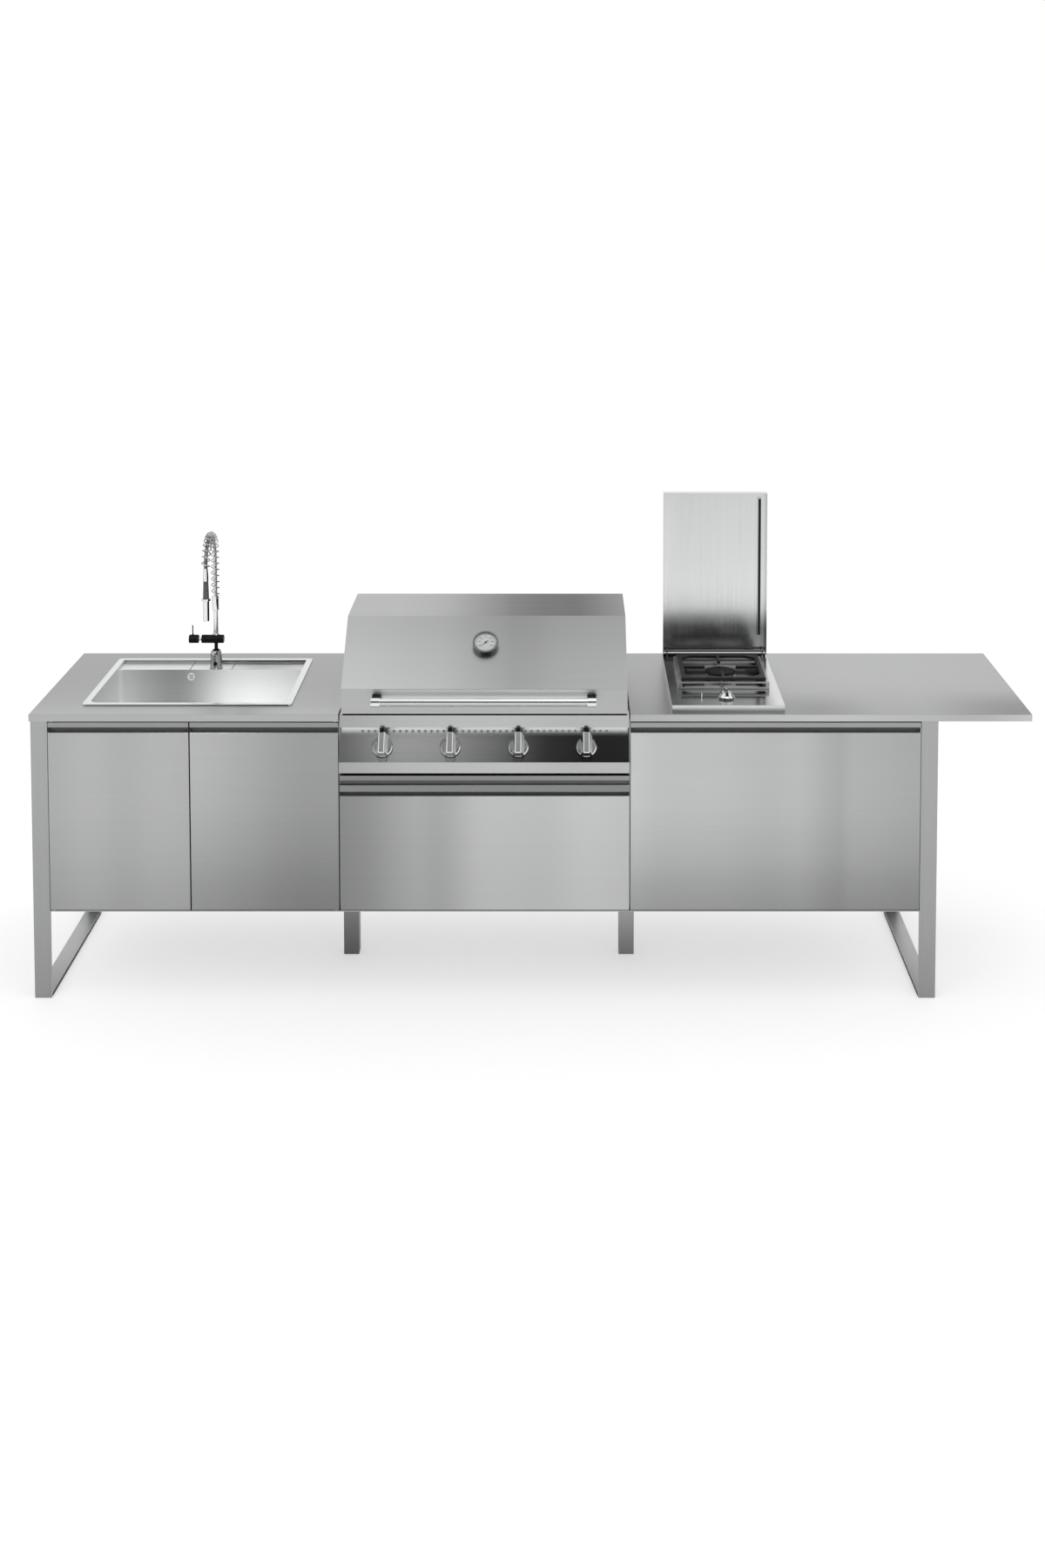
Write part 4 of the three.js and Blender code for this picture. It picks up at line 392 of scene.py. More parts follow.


# Many finishes below carry painted light: their tone stops and patches are painted reflections and painted shade, laid
# into the colour of the metal.
FINISHES: dict[str, object] = {
    # Doors and drawer fronts: painted reflection bands across them and painted shade towards the floor.
    "left_front": BrushedSteel("left door steel", 0.47, 0.34, painted_light=PaintedLight(
        x=((-1.49, 0.92), (-1.37, 1.0), (-1.26, 0.95), (-1.16, 1.0), (-1.06, 0.96)),
        z=((0.28, 0.78), (0.42, 0.88), (0.56, 0.96), (0.7, 1.0), (0.88, 1.0)))),
    "right_front": BrushedSteel("right door steel", 0.47, 0.34, painted_light=PaintedLight(
        x=((-1.05, 1.1), (-0.94, 1.02), (-0.83, 0.9), (-0.72, 0.8), (-0.6, 0.8)),
        z=((0.28, 0.58), (0.42, 0.7), (0.56, 0.84), (0.7, 0.92), (0.88, 0.94)))),
    "drawer_front": BrushedSteel("drawer steel", 0.49, 0.34, painted_light=PaintedLight(
        x=((-0.59, 0.54), (-0.48, 0.66), (-0.37, 0.84), (-0.27, 0.84), (-0.16, 1.07), (0.05, 1.06), (0.17, 1.15),
                 (0.3, 1.1)),
        z=((0.28, 0.92), (0.45, 0.95), (0.6, 1.0)))),
    "hob_front": BrushedSteel("hob drawer steel", 0.5, 0.34, painted_light=PaintedLight(
        x=((0.31, 1.16), (0.4, 1.06), (0.6, 1.05), (0.74, 1.0), (0.84, 1.0), (0.95, 0.84), (1.0, 0.9),
                 (1.2, 0.82)),
        z=((0.28, 0.6), (0.42, 0.78), (0.56, 0.94), (0.7, 1.0), (0.88, 1.0)))),
    # Lips over the finger grooves, under the worktop and under the drip tray: darker copies of steel, painted shade.
    "strip": BrushedSteel("strip steel", 0.35, 0.34, painted_light=PaintedLight(
        x=((-1.49, 0.9), (-0.6, 0.88), (0.31, 1.0), (1.2, 1.0)))),
    "drawer_strip": BrushedSteel("drawer strip steel", 0.25, 0.34),
    "carcass": BrushedSteel("carcass steel", 0.42, 0.38),
    # Worktops: painted reflection across them and from front to back, with a painted dark patch at the front of the
    # right worktop.
    "worktop": BrushedSteel("worktop steel", 0.435, 0.36, painted_light=PaintedLight(
        x=((-1.55, 0.92), (-0.6, 0.94), (0.31, 0.84), (0.75, 1.0), (0.93, 1.03), (1.22, 1.04), (1.55, 1.0)),
        y=((-0.32, 0.84), (-0.18, 0.9), (-0.04, 0.97), (0.12, 1.0), (0.38, 1.0))),
        painted_patch=PaintedPatch(0.22, PaintedLight(
            x=((0.7, 0.0), (0.85, 0.6), (0.98, 0.4), (1.1, 0.0), (1.22, 0.0), (1.34, 0.4), (1.5, 0.9)),
            y=((-0.32, 1.0), (-0.2, 0.7), (-0.08, 0.1), (0.0, 0.0))))),
    "sink_top": BrushedSteel("sink worktop steel", 0.43, 0.36, painted_light=PaintedLight(
        x=((-1.55, 0.92), (-0.6, 0.94)), y=((-0.32, 1.12), (-0.22, 1.0), (0.0, 0.9), (0.38, 0.9)))),
    # Worktop front edges: a lighter copy of steel, a painted highlight.
    "edge": BrushedSteel("worktop edge steel", 0.47, 0.36, painted_light=PaintedLight(
        x=((-1.55, 1.0), (-0.6, 1.0), (0.31, 1.0), (0.6, 1.12), (0.93, 1.2), (1.2, 1.1), (1.4, 1.06),
                 (1.55, 1.25)))),
    # Frames and middle legs: painted light that lifts the rails where the cabinets shade them, and painted shade
    # towards the floor.
    "frame": BrushedSteel("frame steel", 0.4, 0.36, Grain.UPRIGHT, painted_light=PaintedLight(
        y=((-0.31, 1.0), (-0.11, 1.27), (0.05, 1.45), (0.2, 1.45), (0.34, 0.9)),
        z=((0.0, 0.76), (0.2, 0.86), (0.5, 0.96), (0.88, 1.04)))),
    "leg": BrushedSteel("leg steel", 0.38, 0.36, Grain.UPRIGHT, painted_light=PaintedLight(
        x=((-0.6, 0.6), (0.3, 0.98)), z=((0.0, 0.58), (0.12, 0.92), (0.26, 1.2)))),
    # Hood: painted reflection across it, and a painted highlight on the band over the handle that cancels the handle's
    # shade.
    "hood": BrushedSteel("hood steel", 0.47, 0.32, painted_light=PaintedLight(
        x=((-0.59, 1.0), (-0.3, 1.0), (0.0, 1.0), (0.3, 0.98))),
        painted_patch=PaintedPatch(0.76, PaintedLight(
            x=((-0.486, 0.0), (-0.46, 1.0), (0.176, 1.0), (0.202, 0.0)),
            y=((-0.312, 1.0), (-0.28, 0.0)),
            z=((0.946, 0.0), (0.952, 1.0), (0.974, 1.0), (0.979, 0.0))))),
    # Hood slope and top: darker copies of steel with painted reflection, the top darkest towards its right.
    "hood_slope": BrushedSteel("hood slope steel", 0.42, 0.32, painted_light=PaintedLight(
        x=((-0.59, 1.2), (-0.41, 1.1), (-0.25, 0.96), (-0.08, 0.72), (0.0, 0.67), (0.08, 0.7), (0.3, 0.7)),
        z=((0.98, 1.06), (1.08, 0.97), (1.15, 0.9)))),
    "hood_top": BrushedSteel("hood top steel", 0.42, 0.32, painted_light=PaintedLight(
        x=((-0.59, 1.0), (-0.42, 0.99), (-0.25, 0.78), (-0.09, 0.34), (0.0, 0.16), (0.09, 0.1), (0.17, 0.13),
                 (0.3, 0.45)))),
    # Fascia and control panel: painted reflection across them, the panel dark towards its right, with a painted
    # highlight strip along its top edge.
    "fascia": BrushedSteel("fascia steel", 0.49, 0.28, painted_light=PaintedLight(
        x=((-0.59, 0.78), (-0.44, 0.92), (-0.29, 1.0), (-0.05, 1.02), (0.1, 0.96), (0.3, 0.98)))),
    "panel": BrushedSteel("panel steel", 0.35, 0.16, painted_light=PaintedLight(
        x=((-0.59, 0.38), (-0.44, 0.84), (-0.36, 0.94), (-0.24, 0.76), (-0.08, 0.38), (0.02, 0.15), (0.13, 0.07),
                 (0.3, 0.06))),
        painted_patch=PaintedPatch(0.78, PaintedLight(z=((0.824, 0.0), (0.833, 0.25), (0.844, 1.0), (0.858, 1.0))))),
    # The panel's underside: a near-white copy of steel, painted reflected light.
    "panel_underside_highlight": BrushedSteel("panel underside highlight steel", 0.9, 0.2),
    # The screen behind the vents: a darker copy of steel, painted shade in the vent holes.
    "vent": BrushedSteel("vent screen steel", 0.34, 0.4),
    # Drip tray front: a darker copy of steel, painted shade under the lip.
    "tray": BrushedSteel("tray steel", 0.27, 0.34, painted_light=PaintedLight(
        x=((-0.59, 0.92), (-0.1, 1.0), (0.3, 1.12)))),
    # Basin: painted reflection, a dark band across the bowl and darker towards the rim.
    "basin": BrushedSteel("basin steel", 0.95, 0.32, streak=0.01, bands=0.005, metal=0.25, relief=0.08, painted_light=PaintedLight(
        x=((-1.43, 1.0), (-1.34, 0.72), (-1.25, 0.46), (-1.15, 0.44), (-1.05, 0.8), (-0.96, 0.94), (-0.86, 0.92),
                 (-0.77, 0.88)),
        z=((0.74, 1.04), (0.82, 1.0), (0.9, 0.82)))),
    # The ledge's back wall: a darker copy of steel, painted shadow, darkest to the right.
    "ledge_back": BrushedSteel("ledge back steel", 0.34, 0.3, painted_light=PaintedLight(
        x=((-1.4, 1.0), (-1.12, 0.8), (-1.0, 0.4), (-0.78, 0.35)))),
    "rim": BrushedSteel("rim steel", 0.74, 0.22, bands=0.01),
    "trim": BrushedSteel("overflow steel", 0.8, 0.3, metal=0.4),
    # Ledge: its own copy of steel for the faces that look up, with painted reflection across it.
    "ledge": BrushedSteel("ledge steel", 0.66, 0.26, bands=0.01, painted_light=PaintedLight(
        x=((-1.4, 1.1), (-1.12, 1.1), (-0.98, 0.86), (-0.9, 0.7), (-0.78, 0.86)))),
    # Hob pan: painted reflection, bright along its right margin.
    "pan": BrushedSteel("hob pan steel", 0.4, 0.13, bands=0.02, relief=0.06, painted_light=PaintedLight(
        x=((0.44, 0.85), (0.5, 0.9), (0.74, 0.95), (0.765, 1.5), (0.79, 1.6)))),
    # The hob pan's back rim: a dark copy of steel, painted shade.
    "pan_back_shade": BrushedSteel("shaded hob pan rim steel", 0.18, 0.3),
    # The lid's hinge pin: a dark copy of steel, painted shade that hides its highlight.
    "hinge": BrushedSteel("shaded hinge steel", 0.15, 0.34),
    # The hob pan's front: a lighter copy of steel, painted light that lifts its shade.
    "pan_front_painted_light": BrushedSteel("hob pan front steel", 0.66, 0.3),
    # Lid: painted reflection, darker towards its foot.
    "lid": BrushedSteel("lid steel", 0.67, 0.2, Grain.UPRIGHT, bands=0.01, relief=0.1, painted_light=PaintedLight(
        x=((0.44, 1.02), (0.5, 0.98), (0.64, 1.0), (0.79, 1.02)),
        z=((0.93, 0.7), (0.984, 0.6), (1.01, 0.55), (1.03, 0.72), (1.07, 1.0), (1.12, 1.05), (1.25, 1.0),
                 (1.48, 0.94)))),
    "inner": BrushedSteel("inner steel", 0.33, 0.42, bands=0.04),
    # Knob faces and grip tops: dark copies of steel, painted dark reflection; the flanks take a near-white copy, a
    # painted highlight.
    "knob_face": BrushedSteel("knob face steel", 0.24, 0.2),
    "knob_top": BrushedSteel("knob top steel", 0.28, 0.16, Grain.ALONG_Y),
    "knob_painted_highlight": BrushedSteel("knob flank highlight steel", 0.95, 0.3, metal=0.2),
    "chrome": Chrome("polished chrome", (0.78, 0.79, 0.8), 0.06),
    # Handle: painted reflection, darker on the lower half of the tube.
    "handle": Chrome("handle chrome", (0.8, 0.81, 0.82), 0.06, painted_light=PaintedLight(
        z=((0.938, 0.6), (0.951, 0.66), (0.955, 1.0), (0.966, 1.0)))),
    "wire": Chrome("spring wire chrome", (0.46, 0.46, 0.47), 0.12),
    "bezel": Chrome("thermometer bezel chrome", (0.2, 0.2, 0.205), 0.14, spread=(0.0, 0.05)),
    "skirt": Chrome("knob skirt chrome", (0.34, 0.34, 0.35), 0.16, spread=(0.0, 0.05)),
    "satin": Chrome("satin chrome", (0.55, 0.55, 0.56), 0.2, spread=(0.0, 0.06)),
    "black": Moulded("black enamel", (0.004, 0.004, 0.0045), 0.45, 0.1, Waves((500.0, 500.0, 500.0), 3.0, 0.6),
                     sockets=(("Specular_IOR_Level", 0.12),)),
    "shadow": Moulded("painted shade grey", (0.15, 0.152, 0.153), 0.5),
    # Near black: the ledge's joints, the bottom of the lid's slot, and the strip at the lid's foot, which is painted
    # shade.
    "track": Moulded("lid track", (0.03, 0.03, 0.03), 0.5, 0.2, sockets=(("Specular_IOR_Level", 0.2),)),
    "grip": Moulded("spray grip rubber", (0.075, 0.075, 0.08), 0.55, 0.6, Waves((900.0, 900.0, 900.0), 3.0, 0.6)),
    "dial": Moulded("dial enamel", (0.9, 0.9, 0.89), 0.35, 0.05),
    "ink": Moulded("dial ink", (0.03, 0.03, 0.03), 0.5, 0.05),
    "mark": Moulded("white mark", (0.9, 0.9, 0.9), 0.4, 0.05),
    "plastic": Moulded("waste pipe plastic", (0.7, 0.71, 0.71), 0.4, 0.2),
    "iron": CastIron("enamelled iron", (0.01, 0.01, 0.011), 0.46),
    # Hose braid: painted highlight, brighter towards the back of the arch.
    "braid": Braid("hose braid", (0.4, 0.4, 0.41), 0.22, painted_light=PaintedLight(
        y=((0.04, 0.5), (0.12, 0.6), (0.2, 2.0)))),
    "glass": ClearGlass("dial glass", (0.97, 0.98, 0.98), 0.02),
}


class Palette:
    """The finishes, each made once when it is first asked for."""

    made: dict[str, Paint] = {}

    @classmethod
    def get(cls, key: str) -> Paint:
        """The material of a finish, by its name in FINISHES."""
        if key not in cls.made:
            cls.made[key] = FINISHES[key].build()
        return cls.made[key]


# ---- modelling ----


FACING_LOOSELY = 0.9
FINE = 0.0002
EDGE = 0.0003
WELD = 0.02 * MM
FLAT = math.radians(1.5)
SMOOTH = math.radians(35)
SMOOTH_WIRE = math.radians(50)


def only(obj: Piece) -> None:
    """Make one object the sole selected and active one."""
    bpy.ops.object.select_all(action="DESELECT")
    obj.select_set(True)
    bpy.context.view_layer.objects.active = obj


def settle(obj: Piece) -> None:
    """Apply an object's transform, so that it ends at the origin."""
    only(obj)
    bpy.ops.object.transform_apply(location=True, rotation=True, scale=True)


def newest(name: str) -> Piece:
    """The object that an operator has just made, under its name."""
    obj = bpy.context.active_object
    obj.name = obj.data.name = name
    return obj


@contextmanager
def editing(obj: Piece) -> Iterator[None]:
    """Edit mode on one object, with nothing selected at the start."""
    only(obj)
    bpy.ops.object.mode_set(mode="EDIT")
    bpy.ops.mesh.select_all(action="DESELECT")
    yield
    bpy.ops.object.mode_set(mode="OBJECT")


def pick_faces(obj: Piece, facing: Point) -> None:
    """Select, in edit mode, the faces that look one way."""
    bpy.ops.mesh.select_mode(type="FACE")
    sheet = bmesh.from_edit_mesh(obj.data)
    for face in sheet.faces:
        if face.normal.dot(Vector(facing)) > FACING_LOOSELY:
            face.select_set(True)
    bmesh.update_edit_mesh(obj.data)


def narrow(obj: Piece, facing: Point, factors: Point, centre: Point) -> None:
    """Scale the faces at one end of a piece.

    Args:
        obj: the piece.
        facing: the way in which the end looks.
        factors: the scale on each axis.
        centre: the point that stays.
    """
    with editing(obj):
        pick_faces(obj, facing)
        bpy.ops.transform.resize(value=factors, center_override=centre)


def modified(obj: Piece, kind: str, **settings: object) -> None:
    """Give an object a modifier with its settings and apply it."""
    only(obj)
    made = obj.modifiers.new(kind, kind)
    for key, value in settings.items():
        setattr(made, key, value)
    bpy.ops.object.modifier_apply(modifier=made.name)


def soften(obj: Piece, width: float, segments: int = 2, angle: float = 30.0) -> Piece:
    """Round the edges with an applied bevel and smooth the shading.

    Args:
        obj: the object.
        width: the bevel's width in metres.
        segments: the steps across it.
        angle: the least angle of an edge that is rounded, in degrees.

    Returns:
        The same object.
    """
    if width > 0:
        modified(obj, "BEVEL", width=width, segments=segments, limit_method="ANGLE", angle_limit=math.radians(angle))
    only(obj)
    bpy.ops.object.shade_smooth_by_angle(angle=SMOOTH)
    modified(obj, "WEIGHTED_NORMAL", keep_sharp=True, weight=50)
    return obj


def dress(obj: Piece, finish: str, body: str, *nodes: str) -> Piece:
    """Give a piece its finish, its body and the nodes that it stands for.

    Args:
        obj: the piece.
        finish: the finish's name.
        body: the body that it rides on.
        nodes: the frame's nodes that it replaces.

    Returns:
        The same piece.
    """
    paint(obj, finish)
    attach(obj, body)
    if nodes:
        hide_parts(*nodes)
    LOG.info("%s: %d faces on %s", obj.name, len(obj.data.polygons), body)
    return obj


def paint(obj: Piece, finish: str) -> None:
    """Give an object one material."""
    obj.data.materials.clear()
    obj.data.materials.append(Palette.get(finish))


def paint_light_by_facing(
    piece: Piece, finish: str, facing: Point, low: float = -1.0, high: float = 9.0, likeness: float = 0.97
) -> None:
    """Paint light and shade by facing: give another finish to the faces that look one way, between two heights.

    Args:
        piece: the piece, already dressed.
        finish: the finish's name.
        facing: the way in which the faces look, as a unit vector.
        low: the lowest height of a face's middle in metres.
        high: the greatest height.
        likeness: the least cosine between a face's normal and that way.
    """
    piece.data.materials.append(Palette.get(finish))
    number = len(piece.data.materials) - 1
    for face in piece.data.polygons:
        if face.normal.dot(Vector(facing)) > likeness and low < face.center.z < high:
            face.material_index = number


def spot(x: float, y: float, z: float, turn: Matrix = Matrix()) -> Matrix:
    """A place, with a turn about it."""
    return Matrix.Translation((x, y, z)) @ turn


def seat(obj: Piece, place: Matrix) -> Piece:
    """Put a piece that was modelled round the origin in its place."""
    obj.matrix_world = place @ obj.matrix_world
    settle(obj)
    return obj


def turned(
    place: Matrix, name: str, profile: Profile, finish: str, body: str, *nodes: str, sides: int = 48,
    bevel: float = 0.0,
) -> Piece:
    """Pull a disc up through a list of radii and heights, then seat and dress it.

    Args:
        place: the seat of its axis.
        name: the piece's name.
        profile: pairs of radius and height in metres, from the first face to the last.
        finish: the finish's name.
        body: the body that it rides on.
        nodes: the frame's nodes that it replaces.
        sides: facets round the axis.
        bevel: width of the rounding on its edges.

    Returns:
        The piece.
    """
    radius, height = profile[0]
    bpy.ops.mesh.primitive_circle_add(vertices=sides, radius=radius, fill_type="NGON", location=(0, 0, height))
    obj = newest(name)
    settle(obj)
    with editing(obj):
        bpy.ops.mesh.select_all(action="SELECT")
        for next_radius, next_height in profile[1:]:
            bpy.ops.mesh.extrude_region_move(TRANSFORM_OT_translate={"value": (0, 0, next_height - height)})
            factor = next_radius / radius
            bpy.ops.transform.resize(value=(factor, factor, 1.0), center_override=(0, 0, next_height))
            radius, height = next_radius, next_height
        bpy.ops.mesh.select_all(action="SELECT")
        bpy.ops.mesh.normals_make_consistent(inside=False)
    return dress(seat(soften(obj, bevel), place), finish, body, *nodes)


def block(name: str, low: Point, high: Point, bevel: float = 0.0, segments: int = 2) -> Piece:
    """A box between two corners with rounded edges.

    Args:
        name: the piece's name.
        low: its lowest corner in metres.
        high: its highest corner.
        bevel: the rounding's width.
        segments: the rounding's steps.

    Returns:
        The piece.
    """
    bpy.ops.mesh.primitive_cube_add(size=1.0, location=[(a + b) / 2 for a, b in zip(low, high)])
    obj = newest(name)
    obj.scale = [b - a for a, b in zip(low, high)]
    settle(obj)
    return soften(obj, bevel, segments)


def swept(name: str, points: list[Vector], radius: float, sides: int = 8) -> Piece:
    """A round wire or tube along points.

    Args:
        name: the piece's name.
        points: the route.
        radius: the tube's radius.
        sides: facets round it, a multiple of 4.

    Returns:
        The piece as a mesh.
    """
    curve = bpy.data.curves.new(name, "CURVE")
    curve.dimensions = "3D"
    curve.bevel_depth = radius
    curve.bevel_resolution = sides // 4
    curve.use_fill_caps = True
    spline = curve.splines.new("POLY")
    spline.points.add(len(points) - 1)
    for slot, point in zip(spline.points, points):
        slot.co = (*point, 1.0)
    obj = bpy.data.objects.new(name, curve)
    bpy.context.scene.collection.objects.link(obj)
    only(obj)
    bpy.ops.object.convert(target="MESH")
    bpy.ops.object.shade_smooth_by_angle(angle=SMOOTH_WIRE)
    return bpy.context.active_object


def refined(node: str, name: str, bevel: float, segments: int = 2) -> Piece:
    """A copy of a frame solid with its facets merged and its folds rounded.

    Args:
        node: the frame's node.
        name: the piece's name.
        bevel: the fold's radius in metres.
        segments: steps round a fold.

    Returns:
        The piece.
    """
    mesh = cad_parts[node].data.copy()
    mesh.materials.clear()
    obj = bpy.data.objects.new(name, mesh)
    bpy.context.scene.collection.objects.link(obj)
    with editing(obj):
        bpy.ops.mesh.select_all(action="SELECT")
        bpy.ops.mesh.remove_doubles(threshold=WELD)
        bpy.ops.mesh.customdata_custom_splitnormals_clear()
        bpy.ops.mesh.dissolve_limited(angle_limit=FLAT)
    return soften(obj, bevel, segments)


# ---- sub-assemblies ----


PANEL_TILT = math.radians(54.52)
HOOD_TILT = math.radians(39.54)
PANEL_OUT = (0.0, -math.sin(PANEL_TILT), math.cos(PANEL_TILT))
HOOD_OUT = (0.0, -math.sin(HOOD_TILT), math.cos(HOOD_TILT))
FRONT = (0.0, -1.0, 0.0)
BACK = (0.0, 1.0, 0.0)
UP = (0.0, 0.0, 1.0)
DOWN = (0.0, 0.0, -1.0)
GRILL_X = -0.142
BAR_ANGLE = 25
TO_FRONT = Matrix.Rotation(math.pi / 2, 4, "X")
TO_RIGHT = Matrix.Rotation(math.pi / 2, 4, "Y")
KNOB_LINE = (-0.314697, 0.7953)


def on_panel(x: float) -> Matrix:
    """The seat on the control panel, on the line of the knobs."""
    return spot(x, *KNOB_LINE, Matrix.Rotation(PANEL_TILT, 4, "X"))


@dataclass(frozen=True)
class Strip:
    """A thin bar beside a sheet: its name, corners, finish and body, and how its edges are rounded."""

    name: str
    low: Point
    high: Point
    finish: str
    body: str
    edge: float = FINE
    segments: int = 1

    def build(self, place: Matrix = Matrix()) -> None:
        """Make and dress the bar in its place."""
        bar = block(self.name, self.low, self.high, self.edge, self.segments)
        dress(seat(bar, place), self.finish, self.body)


@dataclass(frozen=True)
class Zone:
    """Faces of a sheet that take their own finish: those that look one way, between two heights. Most of these finishes
    are painted light and shade.
    """

    nodes: tuple[str, ...]
    finish: str
    facing: Point
    low: float = -1.0
    high: float = 9.0


@dataclass
class SheetWork:
    """The folded sheets of frames, legs, worktops, fronts, drip tray, hood, hob pan and lid, grate stand, basin and
    fascia, with their folds rounded.
    """

    pieces: tuple[tuple[str, str, str, float], ...] = (
        ("left_side_frame", "frame", "island", 1.2),
        ("right_side_frame", "frame", "island", 1.2),
        ("left_middle_leg", "leg", "island", 1.5),
        ("right_middle_leg", "leg", "island", 1.5),
        ("left_worktop", "sink_top", "island", 1.2),
        ("right_worktop", "worktop", "island", 1.2),
        ("rear_worktop_strip", "worktop", "island", 0.6),
        ("left_door", "left_front", "left_door", 0.4),
        ("right_door", "right_front", "right_door", 0.4),
        ("grill_drawer_front", "drawer_front", "grill_drawer", 0.4),
        ("hob_drawer_front", "hob_front", "hob_drawer", 0.4),
        ("drip_tray", "inner", "drip_tray", 0.4),
        ("hood", "hood", "hood", 0.8),
        ("hob_pan", "pan", "island", 0.6),
        ("hob_lid", "lid", "hob_lid", 0.5),
        ("hob_grate_stand", "satin", "island", 0.8),
        ("sink_basin", "basin", "island", 0.6),
        ("control_fascia", "fascia", "island", 0.3),
    )
    # Painted light and shade by facing: darker lips over the grooves and the drawer, a darker tray front, lighter
    # worktop edges, darker hood slope and top, the panel's painted reflection and near-white underside, the ledge and
    # its shaded back wall, and the hob pan's shaded back rim and lifted front.
    zones: tuple[Zone, ...] = (
        Zone(("left_door", "right_door", "hob_drawer_front"), "strip", FRONT, low=0.855),
        Zone(("grill_drawer_front",), "drawer_strip", FRONT, low=0.652),
        Zone(("drip_tray",), "tray", FRONT, low=0.69),
        Zone(("left_worktop", "right_worktop"), "edge", FRONT),
        Zone(("hood",), "hood_slope", HOOD_OUT),
        Zone(("hood",), "hood_top", UP, low=1.1),
        Zone(("control_fascia",), "panel", PANEL_OUT),
        Zone(("control_fascia",), "panel_underside_highlight", DOWN, low=0.855, high=0.861),
        Zone(("sink_basin",), "rim", UP, low=0.9035),
        Zone(("sink_basin",), "ledge", UP, low=0.89, high=0.9),
        Zone(("sink_basin",), "ledge_back", FRONT, low=0.896, high=0.903),
        Zone(("hob_pan",), "pan_back_shade", FRONT, low=0.922),
        Zone(("hob_pan",), "pan_back_shade", UP, low=0.925),
        Zone(("hob_pan",), "pan_front_painted_light", FRONT, high=0.921),
    )
    # The screen behind the vents is darkened: painted shade in the vent holes.
    screen: Strip = Strip("vent_screen", (-0.385, 0.043, -0.0022), (0.385, 0.059, -0.0012), "vent", "island")
    strips: tuple[Strip, ...] = (
        # A dark strip in the gap under the drip tray: painted shade.
        Strip("tray_gap_shade_strip", (-0.588, -0.304, 0.6772), (0.304, -0.302, 0.6898), "shadow", "island"),
        Strip("lid_track_bottom", (0.7608, 0.289, 0.9898), (0.7692, 0.293, 1.4552), "track", "hob_lid"),
        # A dark strip at the lid's foot: painted shade.
        Strip("hob_lid_foot_shade", (0.4405, 0.2858, 0.9199), (0.7875, 0.2892, 0.9262), "track", "island", 0.0006, 2),
    )
    # Size of the dark strips at the frames' feet, painted contact shadow.
    foot_shade_half: float = 0.0006
    foot_shade_y: Span = (-0.3, 0.33)
    foot_shade_z: Span = (0.0003, 0.0085)

    def build(self) -> None:
        """Make each refined sheet and dress it."""
        for node, finish, body, fold in self.pieces:
            piece = dress(refined(node, f"{node}_sheet", fold * MM), finish, body, node)
            for zone in self.zones:
                if node in zone.nodes:
                    paint_light_by_facing(piece, zone.finish, zone.facing, zone.low, zone.high)
        self.liners()

    def liners(self) -> None:
        """The vents' screen, darkened as painted shade in the vents; dark strips over the drawer and at the lid's foot,
        both painted shade; a near-black strip in the lid's slot; and dark strips at the frames' feet, painted contact
        shadow.
        """
        self.screen.build(on_panel(GRILL_X))
        for strip in self.strips:
            strip.build()
        # Dark strips along the foot of each frame's inner face: painted contact shadow.
        for node, side in (("left_side_frame", 1), ("right_side_frame", 0)):
            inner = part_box(node)[side].x
            low, high = ((inner + shift, self.foot_shade_y[end], self.foot_shade_z[end])
                         for end, shift in enumerate((-self.foot_shade_half, self.foot_shade_half)))
            Strip(f"{node}_foot_shade", low, high, "black", "island").build()


@dataclass
class FingerGrooves:
    """Dark liners inside the finger grooves of doors and drawers: painted shade in the grooves."""

    wall: float = 0.6 * MM
    inset: float = 2.5 * MM
    depth: float = 19.4 * MM
    side_gap: float = 0.3 * MM
    edge_gap: float = 0.1 * MM
    fronts: tuple[tuple[str, str, float, float], ...] = (
        ("left_door", "left_door", 0.841, 0.857),
        ("right_door", "right_door", 0.841, 0.857),
        ("hob_drawer_front", "hob_drawer", 0.841, 0.857),
        ("grill_drawer_front", "grill_drawer", 0.642, 0.6545),
    )

    def build(self) -> None:
        """Line each groove with a back, an upper and a lower wall."""
        for node, body, low, high in self.fronts:
            left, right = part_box(node)
            near = (left.x + self.side_gap, left.y + self.inset, low + self.edge_gap)
            far = (right.x - self.side_gap, left.y + self.depth, high - self.edge_gap)
            obj = block(f"{node}_channel", near, far)
            with editing(obj):
                pick_faces(obj, FRONT)
                bpy.ops.mesh.delete(type="FACE")
            modified(obj, "SOLIDIFY", thickness=self.wall, offset=-1.0)
            dress(obj, "shadow", body)


